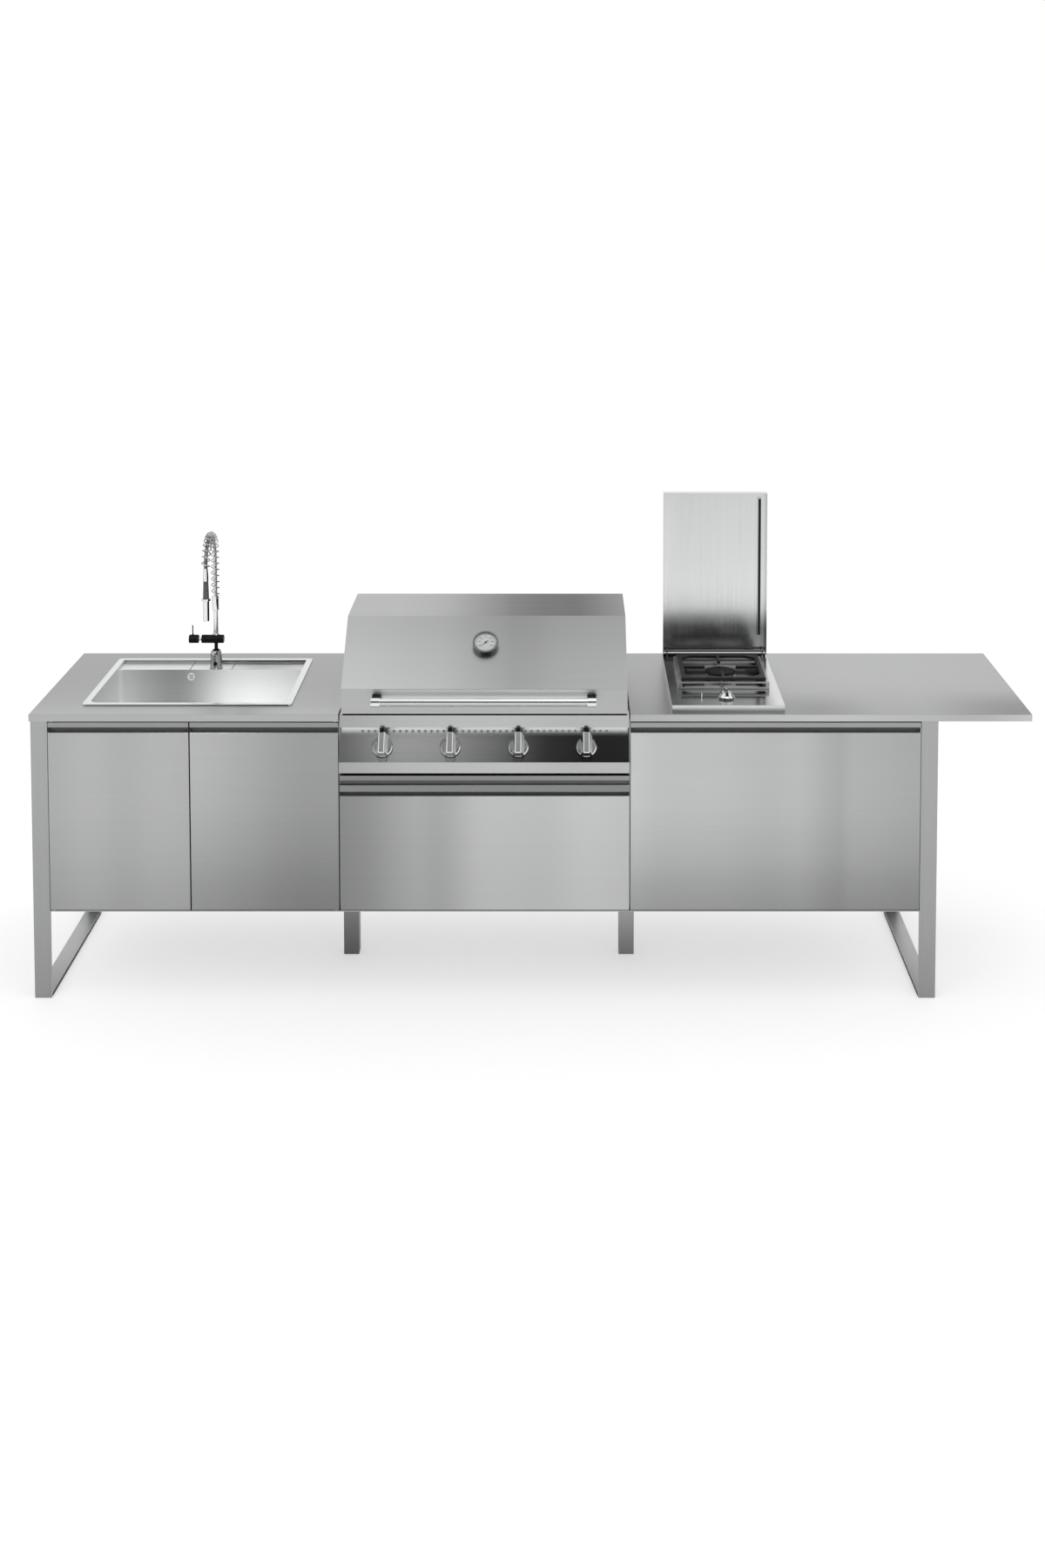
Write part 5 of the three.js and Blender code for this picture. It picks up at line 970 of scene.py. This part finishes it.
@dataclass
class SpringTap:
    """The tap with its side lever, riser, open spring, hose and pull-down spray."""

    x: float = -1.063
    y: float = 0.22
    foot: float = 0.8953
    screw_height: float = 0.018
    mixer_z: float = 0.9933
    mixer_radius: float = 0.014
    mixer_left: float = 0.048
    mixer_right: float = 0.026
    lever_gap: float = 0.01
    lever_length: float = 0.032
    pin_inset: float = 0.02
    riser_foot: float = 1.0076
    sleeve_foot: float = 1.0923
    sleeve_top: float = 1.14
    arch_z: float = 1.2723
    arch_radius: float = 0.087
    hose_radius: float = 0.006
    hose_steps: int = 120
    hose_sides: int = 16
    coil_radius: float = 0.013
    wire_radius: float = 0.002
    pitch: float = 0.0206
    turn_steps: int = 18
    ribs: int = 13
    rib_pitch: float = 0.004
    rib_start: float = 0.0435
    rib_radius: float = 0.0083
    rib_growth: float = 0.0016
    cone_gap: float = 0.0003
    nozzle_drop: float = 0.099

    def build(self) -> None:
        """Model all pieces of the tap."""
        self.body()
        self.lever()
        self.riser()
        self.hose()
        self.spring()
        self.spray()

    def at(self, z: float, turn: Matrix = Matrix()) -> Matrix:
        """The place of the tap's axis at a height, with a turn about it."""
        return spot(self.x, self.y, z, turn)

    def body(self) -> None:
        """The base with its flange, cap, screw and neck, and the mixer bar across it."""
        foot = self.at(self.foot)
        turned(foot, "tap_base_body", [
            (0.0214, 0.0), (0.022, 0.0006), (0.022, 0.0024), (0.0212, 0.0032), (0.0196, 0.0036), (0.0192, 0.006),
            (0.0192, 0.044), (0.0186, 0.049), (0.0172, 0.055), (0.0158, 0.0592), (0.0148, 0.06),
            (0.0064, 0.0602),
        ], "wire", "island", "tap_base", sides=56, bevel=EDGE)
        turned(foot, "tap_base_cap", [
            (0.011, 0.0598), (0.0112, 0.0604), (0.0112, 0.0622), (0.0104, 0.063), (0.0064, 0.0632),
        ], "black", "island", sides=56, bevel=FINE)
        turned(self.at(self.foot + self.screw_height, TO_FRONT), "tap_base_screw", [
            (0.0066, 0.018), (0.0066, 0.0198), (0.006, 0.0203),
        ], "black", "island", sides=24, bevel=FINE)
        turned(foot, "tap_neck", [
            (0.006, 0.06), (0.006, self.mixer_z - self.foot - 0.013),
        ], "black", "island", sides=40)
        r, left, right = self.mixer_radius, -self.mixer_left, self.mixer_right
        turned(self.at(self.mixer_z, TO_RIGHT), "tap_mixer_bar", [
            (r - 0.001, left), (r, left + 0.001), (r, left + 0.011), (r - 0.0004, left + 0.0113),
            (r - 0.0004, left + 0.0117), (r, left + 0.012), (r, right - 0.0012), (r - 0.0012, right),
        ], "black", "island", "tap_mixer", sides=56, bevel=FINE)

    def lever(self) -> None:
        """The turning end of the mixer, its spindle and its pin."""
        across = self.at(self.mixer_z, TO_RIGHT)
        r = self.mixer_radius
        near = -self.mixer_left - self.lever_gap
        far = near - self.lever_length
        turned(across, "tap_lever_knob", [
            (r - 0.0012, far), (r, far + 0.0012), (r, near - 0.0014), (r - 0.0014, near), (0.008, near),
        ], "black", "tap_lever", "tap_lever", sides=56, bevel=FINE)
        turned(across, "tap_lever_spindle", [
            (0.005, near - 0.0002), (0.005, -self.mixer_left + 0.0005),
        ], "satin", "tap_lever", sides=32)
        turned(spot(self.x + near - self.pin_inset, self.y, self.mixer_z), "tap_lever_pin", [
            (0.0032, 0.012), (0.0032, 0.0165), (0.0019, 0.018), (0.0019, 0.044), (0.0022, 0.045),
            (0.0022, 0.046),
        ], "black", "tap_lever", sides=24, bevel=FINE)

    def riser(self) -> None:
        """The riser tube and the sleeve that holds hose and spring."""
        low, sleeve, top = self.riser_foot, self.sleeve_foot, self.sleeve_top
        turned(self.at(0.0), "tap_riser_tube", [
            (0.0105, low), (0.011, low + 0.001), (0.011, low + 0.005), (0.0092, low + 0.0062),
            (0.0086, sleeve - 0.002), (0.0118, sleeve), (0.0125, sleeve + 0.0008), (0.0125, sleeve + 0.04),
            (0.012, sleeve + 0.0404), (0.012, sleeve + 0.0412), (0.0125, sleeve + 0.0416),
            (0.0125, top - 0.0008), (0.0118, top),
        ], "chrome", "tap_spout", "tap_riser", sides=56, bevel=FINE)

    def route(self, distance: float) -> tuple[Vector, Vector]:
        """The hose's middle line and the side direction in its plane.

        Args:
            distance: the way along the hose from the sleeve in metres.

        Returns:
            The point and a unit vector square to the line, in the plane of the arch.
        """
        rise = self.arch_z - self.sleeve_top
        if distance <= rise:
            return Vector((self.x, self.y, self.sleeve_top + distance)), Vector(BACK)
        turn = min((distance - rise) / self.arch_radius, math.pi)
        middle = Vector((self.x, self.y - self.arch_radius, self.arch_z))
        side = Vector((0, math.cos(turn), math.sin(turn)))
        return middle + side * self.arch_radius, side

    def length(self) -> float:
        """The hose's length from sleeve to spray."""
        return self.arch_z - self.sleeve_top + math.pi * self.arch_radius

    def hose(self) -> None:
        """The braided hose inside the spring."""
        points = [self.route(self.length() * i / self.hose_steps)[0] for i in range(self.hose_steps + 1)]
        dress(swept("tap_hose_braid", points, self.hose_radius, self.hose_sides), "braid", "tap_spout", "tap_hose")

    def spring(self) -> None:
        """The open spring, one unbroken wire."""
        start, end = self.wire_radius, self.length() - self.wire_radius
        count = round((end - start) / self.pitch * self.turn_steps)
        points = []
        for i in range(count + 1):
            middle, side = self.route(start + (end - start) * i / count)
            turn = i / self.turn_steps * 2 * math.pi
            out = side * math.cos(turn) + Vector((1, 0, 0)) * math.sin(turn)
            points.append(middle + out * self.coil_radius)
        dress(swept("tap_spring_wire", points, self.wire_radius), "wire", "tap_spout", "tap_spring")

    def spray(self) -> None:
        """The spray head: cone, ribbed grip, and nozzle with its face."""
        y = self.y - 2 * self.arch_radius
        top = spot(self.x, y, self.arch_z - self.cone_gap)
        turned(top, "spray_cone", [
            (0.0066, 0.0), (0.007, -0.001), (0.0086, -0.027), (0.0088, -0.028), (0.0088, -0.034),
            (0.0084, -0.0343), (0.0084, -0.0352), (0.0088, -0.0355), (0.0088, -0.0408), (0.0082, -0.041),
        ], "chrome", "tap_spout", bevel=FINE)
        grip: Profile = [(0.0076, -0.041), (0.0082, -0.0418)]
        for i in range(self.ribs):
            z = -self.rib_start - i * self.rib_pitch
            r = self.rib_radius + self.rib_growth * i / (self.ribs - 1)
            grip += [(r, z), (r - 0.0004, z - 0.0006), (r - 0.0004, z - 0.0014), (r, z - 0.002)]
        grip += [(0.01, -0.0984), (0.0092, -0.0988)]
        turned(top, "spray_grip_rubber", grip, "grip", "tap_spout", "spray_grip")
        ring = spot(self.x, y, self.arch_z - self.cone_gap - self.nozzle_drop)
        turned(ring, "spray_nozzle_tube", [
            (0.0098, 0.0), (0.014, -0.0004), (0.015, -0.0016), (0.015, -0.0066), (0.014, -0.0078),
            (0.0108, -0.0082), (0.0104, -0.011), (0.0104, -0.06), (0.0106, -0.0616), (0.0106, -0.073),
            (0.01, -0.074), (0.0084, -0.074), (0.008, -0.07),
        ], "chrome", "tap_spout", "spray_nozzle", bevel=FINE)
        turned(ring, "spray_face", [
            (0.0079, -0.07), (0.0079, -0.0716), (0.007, -0.072),
        ], "black", "tap_spout", sides=32)


@dataclass
class GasKnobs:
    """The four knobs of the grill on their bezels."""

    xs: tuple[float, ...] = (-0.457, -0.247, -0.037, 0.173)
    standoff: float = 0.004
    height: float = 0.044
    foot_width: float = 0.038
    top_width: float = 0.021
    lower_end: float = 0.031
    upper_end: float = 0.036
    grip_foot: float = 0.005
    tip_end: float = 0.046
    tip_width: float = 0.0145
    tip_foot: float = 0.033
    tip_taper: float = 0.002
    grip_edge: float = 0.0048
    tip_edge: float = 0.0015
    rim_likeness: float = 0.8
    rim_highlight_facing: Point = (0.7, -0.55, 0.45)
    flank_highlight_facing: Point = (0.97, 0.0, 0.22)

    def build(self) -> None:
        """Make each knob, numbered from the left."""
        for number, x in enumerate(self.xs, 1):
            self.knob(f"knob_{number}", on_panel(x))

    def knob(self, node: str, place: Matrix) -> None:
        """One knob: skirt, grip bar and index tip over a bezel.

        Args:
            node: the knob's node and body.
            place: the seat on the panel.
        """
        turned(place, f"{node}_bezel", [
            (0.0305, 0.0001), (0.0305, 0.0004), (0.03, 0.0008), (0.012, 0.0008),
        ], "satin", "island", sides=64)
        s = self.standoff
        skirt = turned(place, f"{node}_skirt", [
            (0.0296, s), (0.0312, s + 0.0008), (0.032, s + 0.0024), (0.032, s + 0.0044), (0.0306, s + 0.0062),
            (0.0282, s + 0.0078), (0.024, s + 0.0084),
        ], "skirt", node, node, sides=72, bevel=EDGE)
        # The skirt's face takes painted dark reflection, and its rim facing down and to the right a painted highlight.
        paint_light_by_facing(skirt, "knob_face", PANEL_OUT)
        paint_light_by_facing(skirt, "knob_painted_highlight", place.to_3x3() @ Vector(self.rim_highlight_facing).normalized(), likeness=self.rim_likeness)
        grip = self.bar(f"{node}_grip", (self.foot_width, self.top_width), (-self.lower_end, self.upper_end),
                        s + self.grip_foot, self.grip_edge)
        dress(seat(grip, place), "chrome", node)
        # The grip's top takes painted dark reflection, and its right flank a painted highlight.
        paint_light_by_facing(grip, "knob_top", PANEL_OUT)
        paint_light_by_facing(grip, "knob_painted_highlight", place.to_3x3() @ Vector(self.flank_highlight_facing).normalized())
        widths = (self.tip_width, self.tip_width - self.tip_taper)
        tip = self.bar(f"{node}_tip", widths, (self.upper_end - MM, self.tip_end), s + self.tip_foot, self.tip_edge)
        dress(seat(tip, place), "black", node)

    def bar(self, name: str, widths: Span, ends: Span, foot: float, edge: float) -> Piece:
        """A bar across the knob, narrower at its top, with rounded edges.

        Args:
            name: the piece's name.
            widths: its widths at the skirt and at the top.
            ends: its lower and upper end on the knob.
            foot: its height over the panel.
            edge: the rounding of its edges.

        Returns:
            The piece.
        """
        top = self.standoff + self.height - FINE
        bar = block(name, (-widths[0] / 2, ends[0], foot), (widths[0] / 2, ends[1], top), 0.0, 1)
        narrow(bar, UP, (widths[1] / widths[0], 1.0, 1.0), (0, sum(ends) / 2, top))
        return soften(bar, edge, 5, BAR_ANGLE)


@dataclass
class HoodFittings:
    """The hood's tube handle and its thermometer."""

    handle_y: float = -0.367
    handle_z: float = 0.952
    handle_half: float = 0.346
    tube: float = 0.012
    collar: float = 0.0138
    collar_length: float = 0.029
    post_half: float = 0.0125
    post_rise: float = 0.0095
    post_front: float = -0.363
    post_back: float = -0.3153
    foot_half: float = 0.0135
    foot_rise: float = 0.01
    foot_front: float = -0.318
    foot_back: float = -0.3151
    dial_y: float = -0.19007
    dial_z: float = 1.08213
    ticks: int = 25
    tick_step: float = 10.0
    ticks_per_figure: int = 4
    scale_start: float = -120.0
    needle_turn: float = 132.0
    figures: tuple[str, ...] = ("350", "300", "250", "200", "150", "100", "50")
    dial_face: float = 0.0134
    ink_face: float = 0.0136
    tick_end: float = 0.0305
    major_tick: Span = (0.0004, 0.0262)
    minor_tick: Span = (0.0002, 0.0282)
    figure_radius: float = 0.0205
    figure_size: float = 0.0062
    figure_rise: float = 0.00006
    hand_low: Point = (-0.0012, -0.011, 0.015)
    hand_high: Point = (0.0012, 0.028, 0.0156)
    hand_point: Point = (0.2, 1.0, 1.0)
    hand_edge: float = 0.0001

    def build(self) -> None:
        """Make handle and thermometer."""
        self.handle()
        place = spot(GRILL_X, self.dial_y, self.dial_z, Matrix.Rotation(HOOD_TILT, 4, "X"))
        self.case(place)
        self.scale(place)
        self.window(place)
        self.needle(place)

    def handle(self) -> None:
        """The tube with its end caps and the posts that carry it."""
        along = spot(GRILL_X, self.handle_y, self.handle_z, TO_RIGHT)
        half, collar, z = self.handle_half, self.collar, self.handle_z
        end = half - self.collar_length
        turned(along, "handle_tube", [(self.tube, -end), (self.tube, end)], "handle", "hood", "hood_handle", sides=64)
        for side, sign in (("left", -1), ("right", 1)):
            turned(along, f"handle_{side}_collar", [
                (collar - 0.0014, sign * half), (collar, sign * (half - 0.0012)), (collar, sign * (end + 0.0006)),
                (collar - 0.0006, sign * end), (0.011, sign * end),
            ], "chrome", "hood", sides=64, bevel=EDGE)
            x = GRILL_X + sign * (half - self.collar_length / 2)
            dress(block(f"handle_{side}_post", (x - self.post_half, self.post_front, z - self.post_rise),
                        (x + self.post_half, self.post_back, z + self.post_rise), 0.0012, 3), "black", "hood")
            dress(block(f"handle_{side}_foot", (x - self.foot_half, self.foot_front, z - self.foot_rise),
                        (x + self.foot_half, self.foot_back, z + self.foot_rise), 0.0008), "black", "hood")

    def case(self, place: Matrix) -> None:
        """The thermometer's case and dial, round its seat."""
        turned(place, "thermometer_bezel", [
            (0.037, 0.0004), (0.037, 0.015), (0.0396, 0.016), (0.04, 0.017), (0.04, 0.02),
            (0.0386, 0.022), (0.035, 0.022), (0.0342, 0.0206), (0.0342, 0.0132),
        ], "bezel", "hood", "thermometer_case", sides=72, bevel=EDGE)
        turned(place, "thermometer_dial", [(0.0341, 0.0128), (0.0341, 0.0134)], "dial", "hood", sides=64)

    def scale(self, place: Matrix) -> None:
        """The ticks and the numbers of the dial, round its seat."""
        for step in range(self.ticks):
            half, start = self.minor_tick if step % self.ticks_per_figure else self.major_tick
            low, high = (-half, start, self.dial_face), (half, self.tick_end, self.ink_face)
            tick = block(f"thermometer_tick_{step}", low, high)
            dress(seat(tick, place @ self.turn(step)), "ink", "hood")
        for number, text in enumerate(self.figures):
            shift = self.turn(number * self.ticks_per_figure) @ Vector((0.0, self.figure_radius, self.ink_face))
            self.figure(text, place @ Matrix.Translation(shift))

    def turn(self, step: int) -> Matrix:
        """The turn to a tick, anticlockwise from the top."""
        return Matrix.Rotation(math.radians(self.scale_start + step * self.tick_step), 4, "Z")

    def figure(self, text: str, place: Matrix) -> None:
        """A number on the dial, upright at its tick.

        Args:
            text: the number.
            place: its seat.
        """
        bpy.ops.object.text_add()
        data = bpy.context.active_object.data
        data.body, data.size, data.extrude = text, self.figure_size, self.figure_rise
        data.align_x = data.align_y = "CENTER"
        bpy.ops.object.convert(target="MESH")
        dress(seat(newest(f"thermometer_figure_{text}"), place), "ink", "hood")

    def window(self, place: Matrix) -> None:
        """The probe behind the dial and the lens over it, which lets the light through."""
        turned(place, "thermometer_probe", [
            (0.0024, -0.0698), (0.0038, -0.068), (0.0038, 0.0004),
        ], "satin", "hood", sides=24)
        lens = turned(place, "thermometer_window", [
            (0.0336, 0.0186), (0.0336, 0.02), (0.03, 0.0206),
        ], "glass", "hood", "thermometer_lens", sides=64, bevel=FINE)
        lens.visible_shadow = False

    def needle(self, place: Matrix) -> None:
        """The needle with its hub, at the angle of the photograph."""
        hand = block("thermometer_hand", self.hand_low, self.hand_high, 0.0, 1)
        narrow(hand, BACK, self.hand_point, (0, self.hand_high[1], (self.hand_low[2] + self.hand_high[2]) / 2))
        soften(hand, self.hand_edge, 1)
        turn = Matrix.Rotation(math.radians(self.needle_turn), 4, "Z")
        dress(seat(hand, place @ turn), "ink", "thermometer_needle", "thermometer_needle")
        turned(place, "thermometer_hub", [
            (0.0036, 0.0137), (0.0036, 0.016), (0.0028, 0.0168),
        ], "ink", "thermometer_needle", sides=32, bevel=FINE)


@dataclass
class GasHob:
    """The drop-in hob: burner, cap, cast grate, knob, spark plug and ignition pin."""

    x: float = 0.614
    burner_y: float = 0.035
    plug_y: float = -0.0185
    knob_y: float = -0.215
    pin_x: float = 0.534
    pin_y: float = -0.245
    top: float = 0.92
    ports: int = 28
    port_low: Point = (-0.0013, 0.0432, 0.006)
    port_high: Point = (0.0013, 0.0444, 0.0112)
    grip_low: Point = (-0.0075, -0.0225, 0.01)
    grip_high: Point = (0.0075, 0.0225, 0.0282)
    grip_taper: Point = (0.7, 0.86, 1.0)
    grip_edge: float = 0.0026
    index_low: Point = (-0.0024, -0.0212, 0.0277)
    index_high: Point = (0.0024, 0.006, 0.0284)
    grate_edge: float = 0.0022

    def build(self) -> None:
        """Make the hob's pieces."""
        self.burner()
        dress(refined("hob_grate", "hob_grate_casting", self.grate_edge, 3), "iron", "island", "hob_grate")
        self.knob()

    def burner(self) -> None:
        """The burner head with its ports, the enamelled cap and the spark plug."""
        place = spot(self.x, self.burner_y, self.top)
        dress(refined("hob_burner", "hob_burner_body", EDGE), "inner", "island", "hob_burner")
        turned(place, "hob_burner_collar", [
            (0.052, 0.0001), (0.052, 0.001), (0.05, 0.0024), (0.045, 0.003),
        ], "satin", "island", sides=64, bevel=FINE)
        for step in range(self.ports):
            turn = Matrix.Rotation(math.radians(step * 360 / self.ports), 4, "Z")
            port = block(f"hob_burner_port_{step}", self.port_low, self.port_high)
            dress(seat(port, place @ turn), "shadow", "island")
        turned(place, "hob_burner_lid", [
            (0.0475, 0.0124), (0.049, 0.0136), (0.049, 0.0158), (0.047, 0.0178), (0.042, 0.0196),
            (0.03, 0.0202),
        ], "black", "island", "hob_burner_cap", sides=72, bevel=0.0004)
        turned(spot(self.x, self.plug_y, self.top), "hob_spark_plug", [
            (0.0028, 0.0001), (0.0028, 0.009), (0.0012, 0.0096), (0.0012, 0.0135),
        ], "plastic", "island", sides=20)

    def knob(self) -> None:
        """The hob's knob with its grip and bezel, and the ignition pin beside it."""
        place = spot(self.x, self.knob_y, self.top)
        turned(place, "hob_knob_bezel", [
            (0.028, 0.0001), (0.028, 0.0004), (0.0274, 0.0008),
        ], "satin", "island", sides=64)
        turned(place, "hob_knob_skirt", [
            (0.024, 0.004), (0.025, 0.005), (0.025, 0.007), (0.0225, 0.01), (0.017, 0.016),
            (0.016, 0.02),
        ], "chrome", "hob_knob", "hob_knob", sides=64, bevel=EDGE)
        grip = block("hob_knob_grip", self.grip_low, self.grip_high, 0.0, 1)
        narrow(grip, UP, self.grip_taper, (0, 0, self.grip_high[2]))
        dress(seat(soften(grip, self.grip_edge, 4, BAR_ANGLE), place), "chrome", "hob_knob")
        index = block("hob_knob_index", self.index_low, self.index_high, FINE, 1)
        dress(seat(index, place), "black", "hob_knob")
        turned(spot(self.pin_x, self.pin_y, self.top), "hob_ignition_pin", [
            (0.003, 0.0001), (0.003, 0.002), (0.0014, 0.003), (0.0014, 0.023), (0.0008, 0.0238),
            (0.0008, 0.0275),
        ], "mark", "island", sides=24, bevel=FINE)


@dataclass
class SinkFittings:
    """The overflow rosette, the drain basket and the joints of the sunk ledge."""

    bowl_x: float = -1.0775
    bowl_y: float = -0.006
    floor: float = 0.7
    back: float = 0.195
    overflow_x: float = -1.1435
    overflow_z: float = 0.871
    ledge: float = 0.895
    ledge_depth: float = 0.086
    joint_half: float = 0.0012
    joint_start: float = 0.002
    joint_z: Span = (0.00005, 0.0003)
    slit_half: Span = (0.0065, 0.001)
    slit_z: Span = (0.0011, 0.0016)
    slits: tuple[float, ...] = (-0.0055, 0.0, 0.0055)
    joints: tuple[tuple[str, float], ...] = (("left", -1.147), ("right", -1.008))

    def build(self) -> None:
        """Make the sink's fittings."""
        self.overflow()
        self.drain()
        for side, x in self.joints:
            low = (x - self.joint_half, self.back + self.joint_start, self.ledge + self.joint_z[0])
            high = (x + self.joint_half, self.back + self.ledge_depth, self.ledge + self.joint_z[1])
            dress(block(f"ledge_{side}_joint", low, high), "track", "island")

    def overflow(self) -> None:
        """A ring with a slotted plate over the overflow hole."""
        place = spot(self.overflow_x, self.back, self.overflow_z, TO_FRONT)
        turned(place, "overflow_ring", [
            (0.013, 0.0001), (0.013, 0.0012), (0.0122, 0.0022), (0.01, 0.0022), (0.0096, 0.0012),
        ], "trim", "island", bevel=FINE)
        wide, tall = self.slit_half
        for number, height in enumerate(self.slits):
            low, high = (-wide, height - tall, self.slit_z[0]), (wide, height + tall, self.slit_z[1])
            dress(seat(block(f"overflow_slit_{number}", low, high, EDGE), place), "shadow", "island")

    def drain(self) -> None:
        """The strainer's flange and the basket's knob."""
        place = spot(self.bowl_x, self.bowl_y, self.floor)
        turned(place, "drain_flange", [
            (0.054, 0.0003), (0.053, 0.0016), (0.045, 0.0028), (0.043, 0.002), (0.0425, -0.01),
        ], "chrome", "island", sides=64, bevel=EDGE)
        turned(place, "drain_knob", [
            (0.003, -0.043), (0.003, -0.03), (0.0075, -0.0285), (0.0075, -0.024), (0.006, -0.023),
        ], "chrome", "island", sides=32, bevel=EDGE)


@dataclass
class HiddenNodes:
    """Frame nodes that stay in view as they are, with better materials."""

    paints: tuple[tuple[str, tuple[str, ...]], ...] = (
        ("carcass", ("sink_cabinet", "grill_cabinet", "hob_cabinet")),
        ("inner", (
            "grill_drawer_box", "grill_drawer_left_runner", "grill_drawer_right_runner", "hob_drawer_box",
            "hob_drawer_left_runner", "hob_drawer_right_runner", "valve_stem_1", "valve_stem_2", "valve_stem_3",
            "valve_stem_4", "burner_rail", "firebox", "hob_valve_stem",
        )),
        # The hinge pin takes a dark copy of steel, painted shade that hides its highlight.
        ("hinge", ("lid_hinge_pin",)),
        ("chrome", ("sink_strainer",)),
        ("iron", ("left_cooking_grate", "right_cooking_grate")),
        ("plastic", ("sink_trap",)),
    )

    def build(self) -> None:
        """Paint each node."""
        for finish, nodes in self.paints:
            for node in nodes:
                paint(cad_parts[node], finish)


# ---- studio ----


@dataclass(frozen=True)
class Lamp:
    """A rectangular lamp: where it hangs, its width and height, its power, its aim and the angle of its beam."""

    name: str
    place: Point
    size: Span
    watts: float
    aim: Point = (0.0, 0.0, 0.7)
    spread: float = 180.0


@dataclass(frozen=True)
class Card:
    """A dark card that only polished metal sees: its middle and its size."""

    name: str
    place: Point
    size: Point


@dataclass
class Studio:
    """The white ground, the lamps, the dark cards and the camera."""

    camera_at: Point = (0.0982, -6.2074, 2.7063)
    camera_tilt: float = math.radians(90 - 3.78)
    lens: float = 44.658
    shift: Span = (-0.02528, -0.33694)
    floor_size: float = 60.0
    floor_tone: float = 0.74
    floor_glow: float = 0.47
    sky_light: float = 0.75
    lamps: tuple[Lamp, ...] = (
        Lamp("key_softbox", (-2.6, -4.6, 4.4), (3.2, 2.2), 20.0),
        Lamp("top_softbox", (1.0, -0.5, 4.8), (4.0, 2.0), 14.0),
        Lamp("bowl_softbox", (-1.00, -0.75, 1.75), (0.3, 0.3), 0.5, (-1.03, 0.15, 0.78), 38.0),
    )
    cards: tuple[Card, ...] = (
        Card("left_flag", (-5.0, 2.6, 2.0), (0.1, 2.6, 4.4)),
        Card("right_flag", (5.0, 2.6, 2.0), (0.1, 2.6, 4.4)),
        Card("front_flag", (0.0, -9.0, 1.9), (14.0, 0.1, 1.6)),
        Card("handle_card", (-0.14, -1.64, 1.83), (1.6, 0.02, 0.96)),
        Card("tap_card", (-0.96, 0.1, 1.185), (0.01, 0.26, 0.23)),
    )

    def build(self) -> None:
        """Set the stage."""
        self.camera()
        self.ground()
        self.sky()
        for lamp in self.lamps:
            self.light(lamp)
        for card in self.cards:
            self.screen(card)

    def stand(self, name: str, data: bpy.types.ID, place: Point, turn: Point) -> Piece:
        """Add a camera or a lamp.

        Args:
            name: its name.
            data: the camera or lamp itself.
            place: where it stands.
            turn: its rotation in radians.

        Returns:
            The object.
        """
        obj = bpy.data.objects.new(name, data)
        obj.location = place
        obj.rotation_euler = turn
        bpy.context.scene.collection.objects.link(obj)
        return obj

    def camera(self) -> None:
        """The camera at the photograph's place and angle."""
        data = bpy.data.cameras.new("camera")
        data.lens = self.lens
        data.sensor_width = 36.0
        data.shift_x, data.shift_y = self.shift
        bpy.context.scene.camera = self.stand("camera", data, self.camera_at, (self.camera_tilt, 0.0, 0.0))

    def ground(self) -> None:
        """A white floor that keeps the soft shadow of the island."""
        bpy.ops.mesh.primitive_plane_add(size=self.floor_size)
        shade = Shade("white floor")
        shade.set(Base_Color=(self.floor_tone,) * 3 + (1.0,), Roughness=1.0, Specular_IOR_Level=0.0)
        seen = shade.rays("Is Camera Ray", "Is Glossy Ray")
        level = shade.add("ShaderNodeMath", {0: seen, 1: self.floor_glow}, operation="MULTIPLY")
        glow = shade.add("ShaderNodeEmission", {"Color": WHITE, "Strength": level.outputs[0]})
        both = shade.add("ShaderNodeAddShader", {0: shade.shader.outputs[0], 1: glow.outputs[0]})
        shade.feed(shade.tree.nodes["Material Output"].inputs["Surface"], both.outputs[0])
        floor = newest("floor")
        floor.data.materials.append(shade.material)

    def sky(self) -> None:
        """A plain bright surround that the camera sees as white."""
        world = bpy.data.worlds.new("surround")
        bpy.context.scene.world = world
        world.use_nodes = True
        nodes = Nodes(world.node_tree)
        seen = nodes.rays("Is Camera Ray", "Is Glossy Ray", "Is Transmission Ray")
        span = nodes.add("ShaderNodeMapRange", {"Value": seen, "To Min": self.sky_light, "To Max": 1.0})
        back = world.node_tree.nodes["Background"].inputs
        nodes.feed(back["Strength"], span.outputs["Result"])
        nodes.feed(back["Color"], WHITE)

    def light(self, lamp: Lamp) -> None:
        """Hang one lamp so that it looks at its aim."""
        data = bpy.data.lights.new(lamp.name, "AREA")
        data.shape = "RECTANGLE"
        data.size, data.size_y = lamp.size
        data.energy = lamp.watts
        data.spread = math.radians(lamp.spread)
        view = Vector(lamp.aim) - Vector(lamp.place)
        self.stand(lamp.name, data, lamp.place, view.to_track_quat("-Z", "Y").to_euler())

    def screen(self, card: Card) -> None:
        """Put up one dark card, hidden from all but reflections."""
        low = tuple(p - s / 2 for p, s in zip(card.place, card.size))
        high = tuple(p + s / 2 for p, s in zip(card.place, card.size))
        obj = block(card.name, low, high)
        obj.data.materials.append(Palette.get("black"))
        obj.visible_camera = obj.visible_diffuse = obj.visible_shadow = False


def main() -> None:
    """Build the scene in order and report each piece."""
    logging.basicConfig(level=logging.INFO, format="%(name)s: %(message)s")
    bpy.context.scene.view_settings.view_transform = "Standard"
    for part in (Studio(), SheetWork(), FingerGrooves(), SpringTap(), GasKnobs(), HoodFittings(), GasHob(),
                 SinkFittings(), HiddenNodes()):
        part.build()
        LOG.info("%s done", type(part).__name__)


if __name__ == "__main__":
    main()
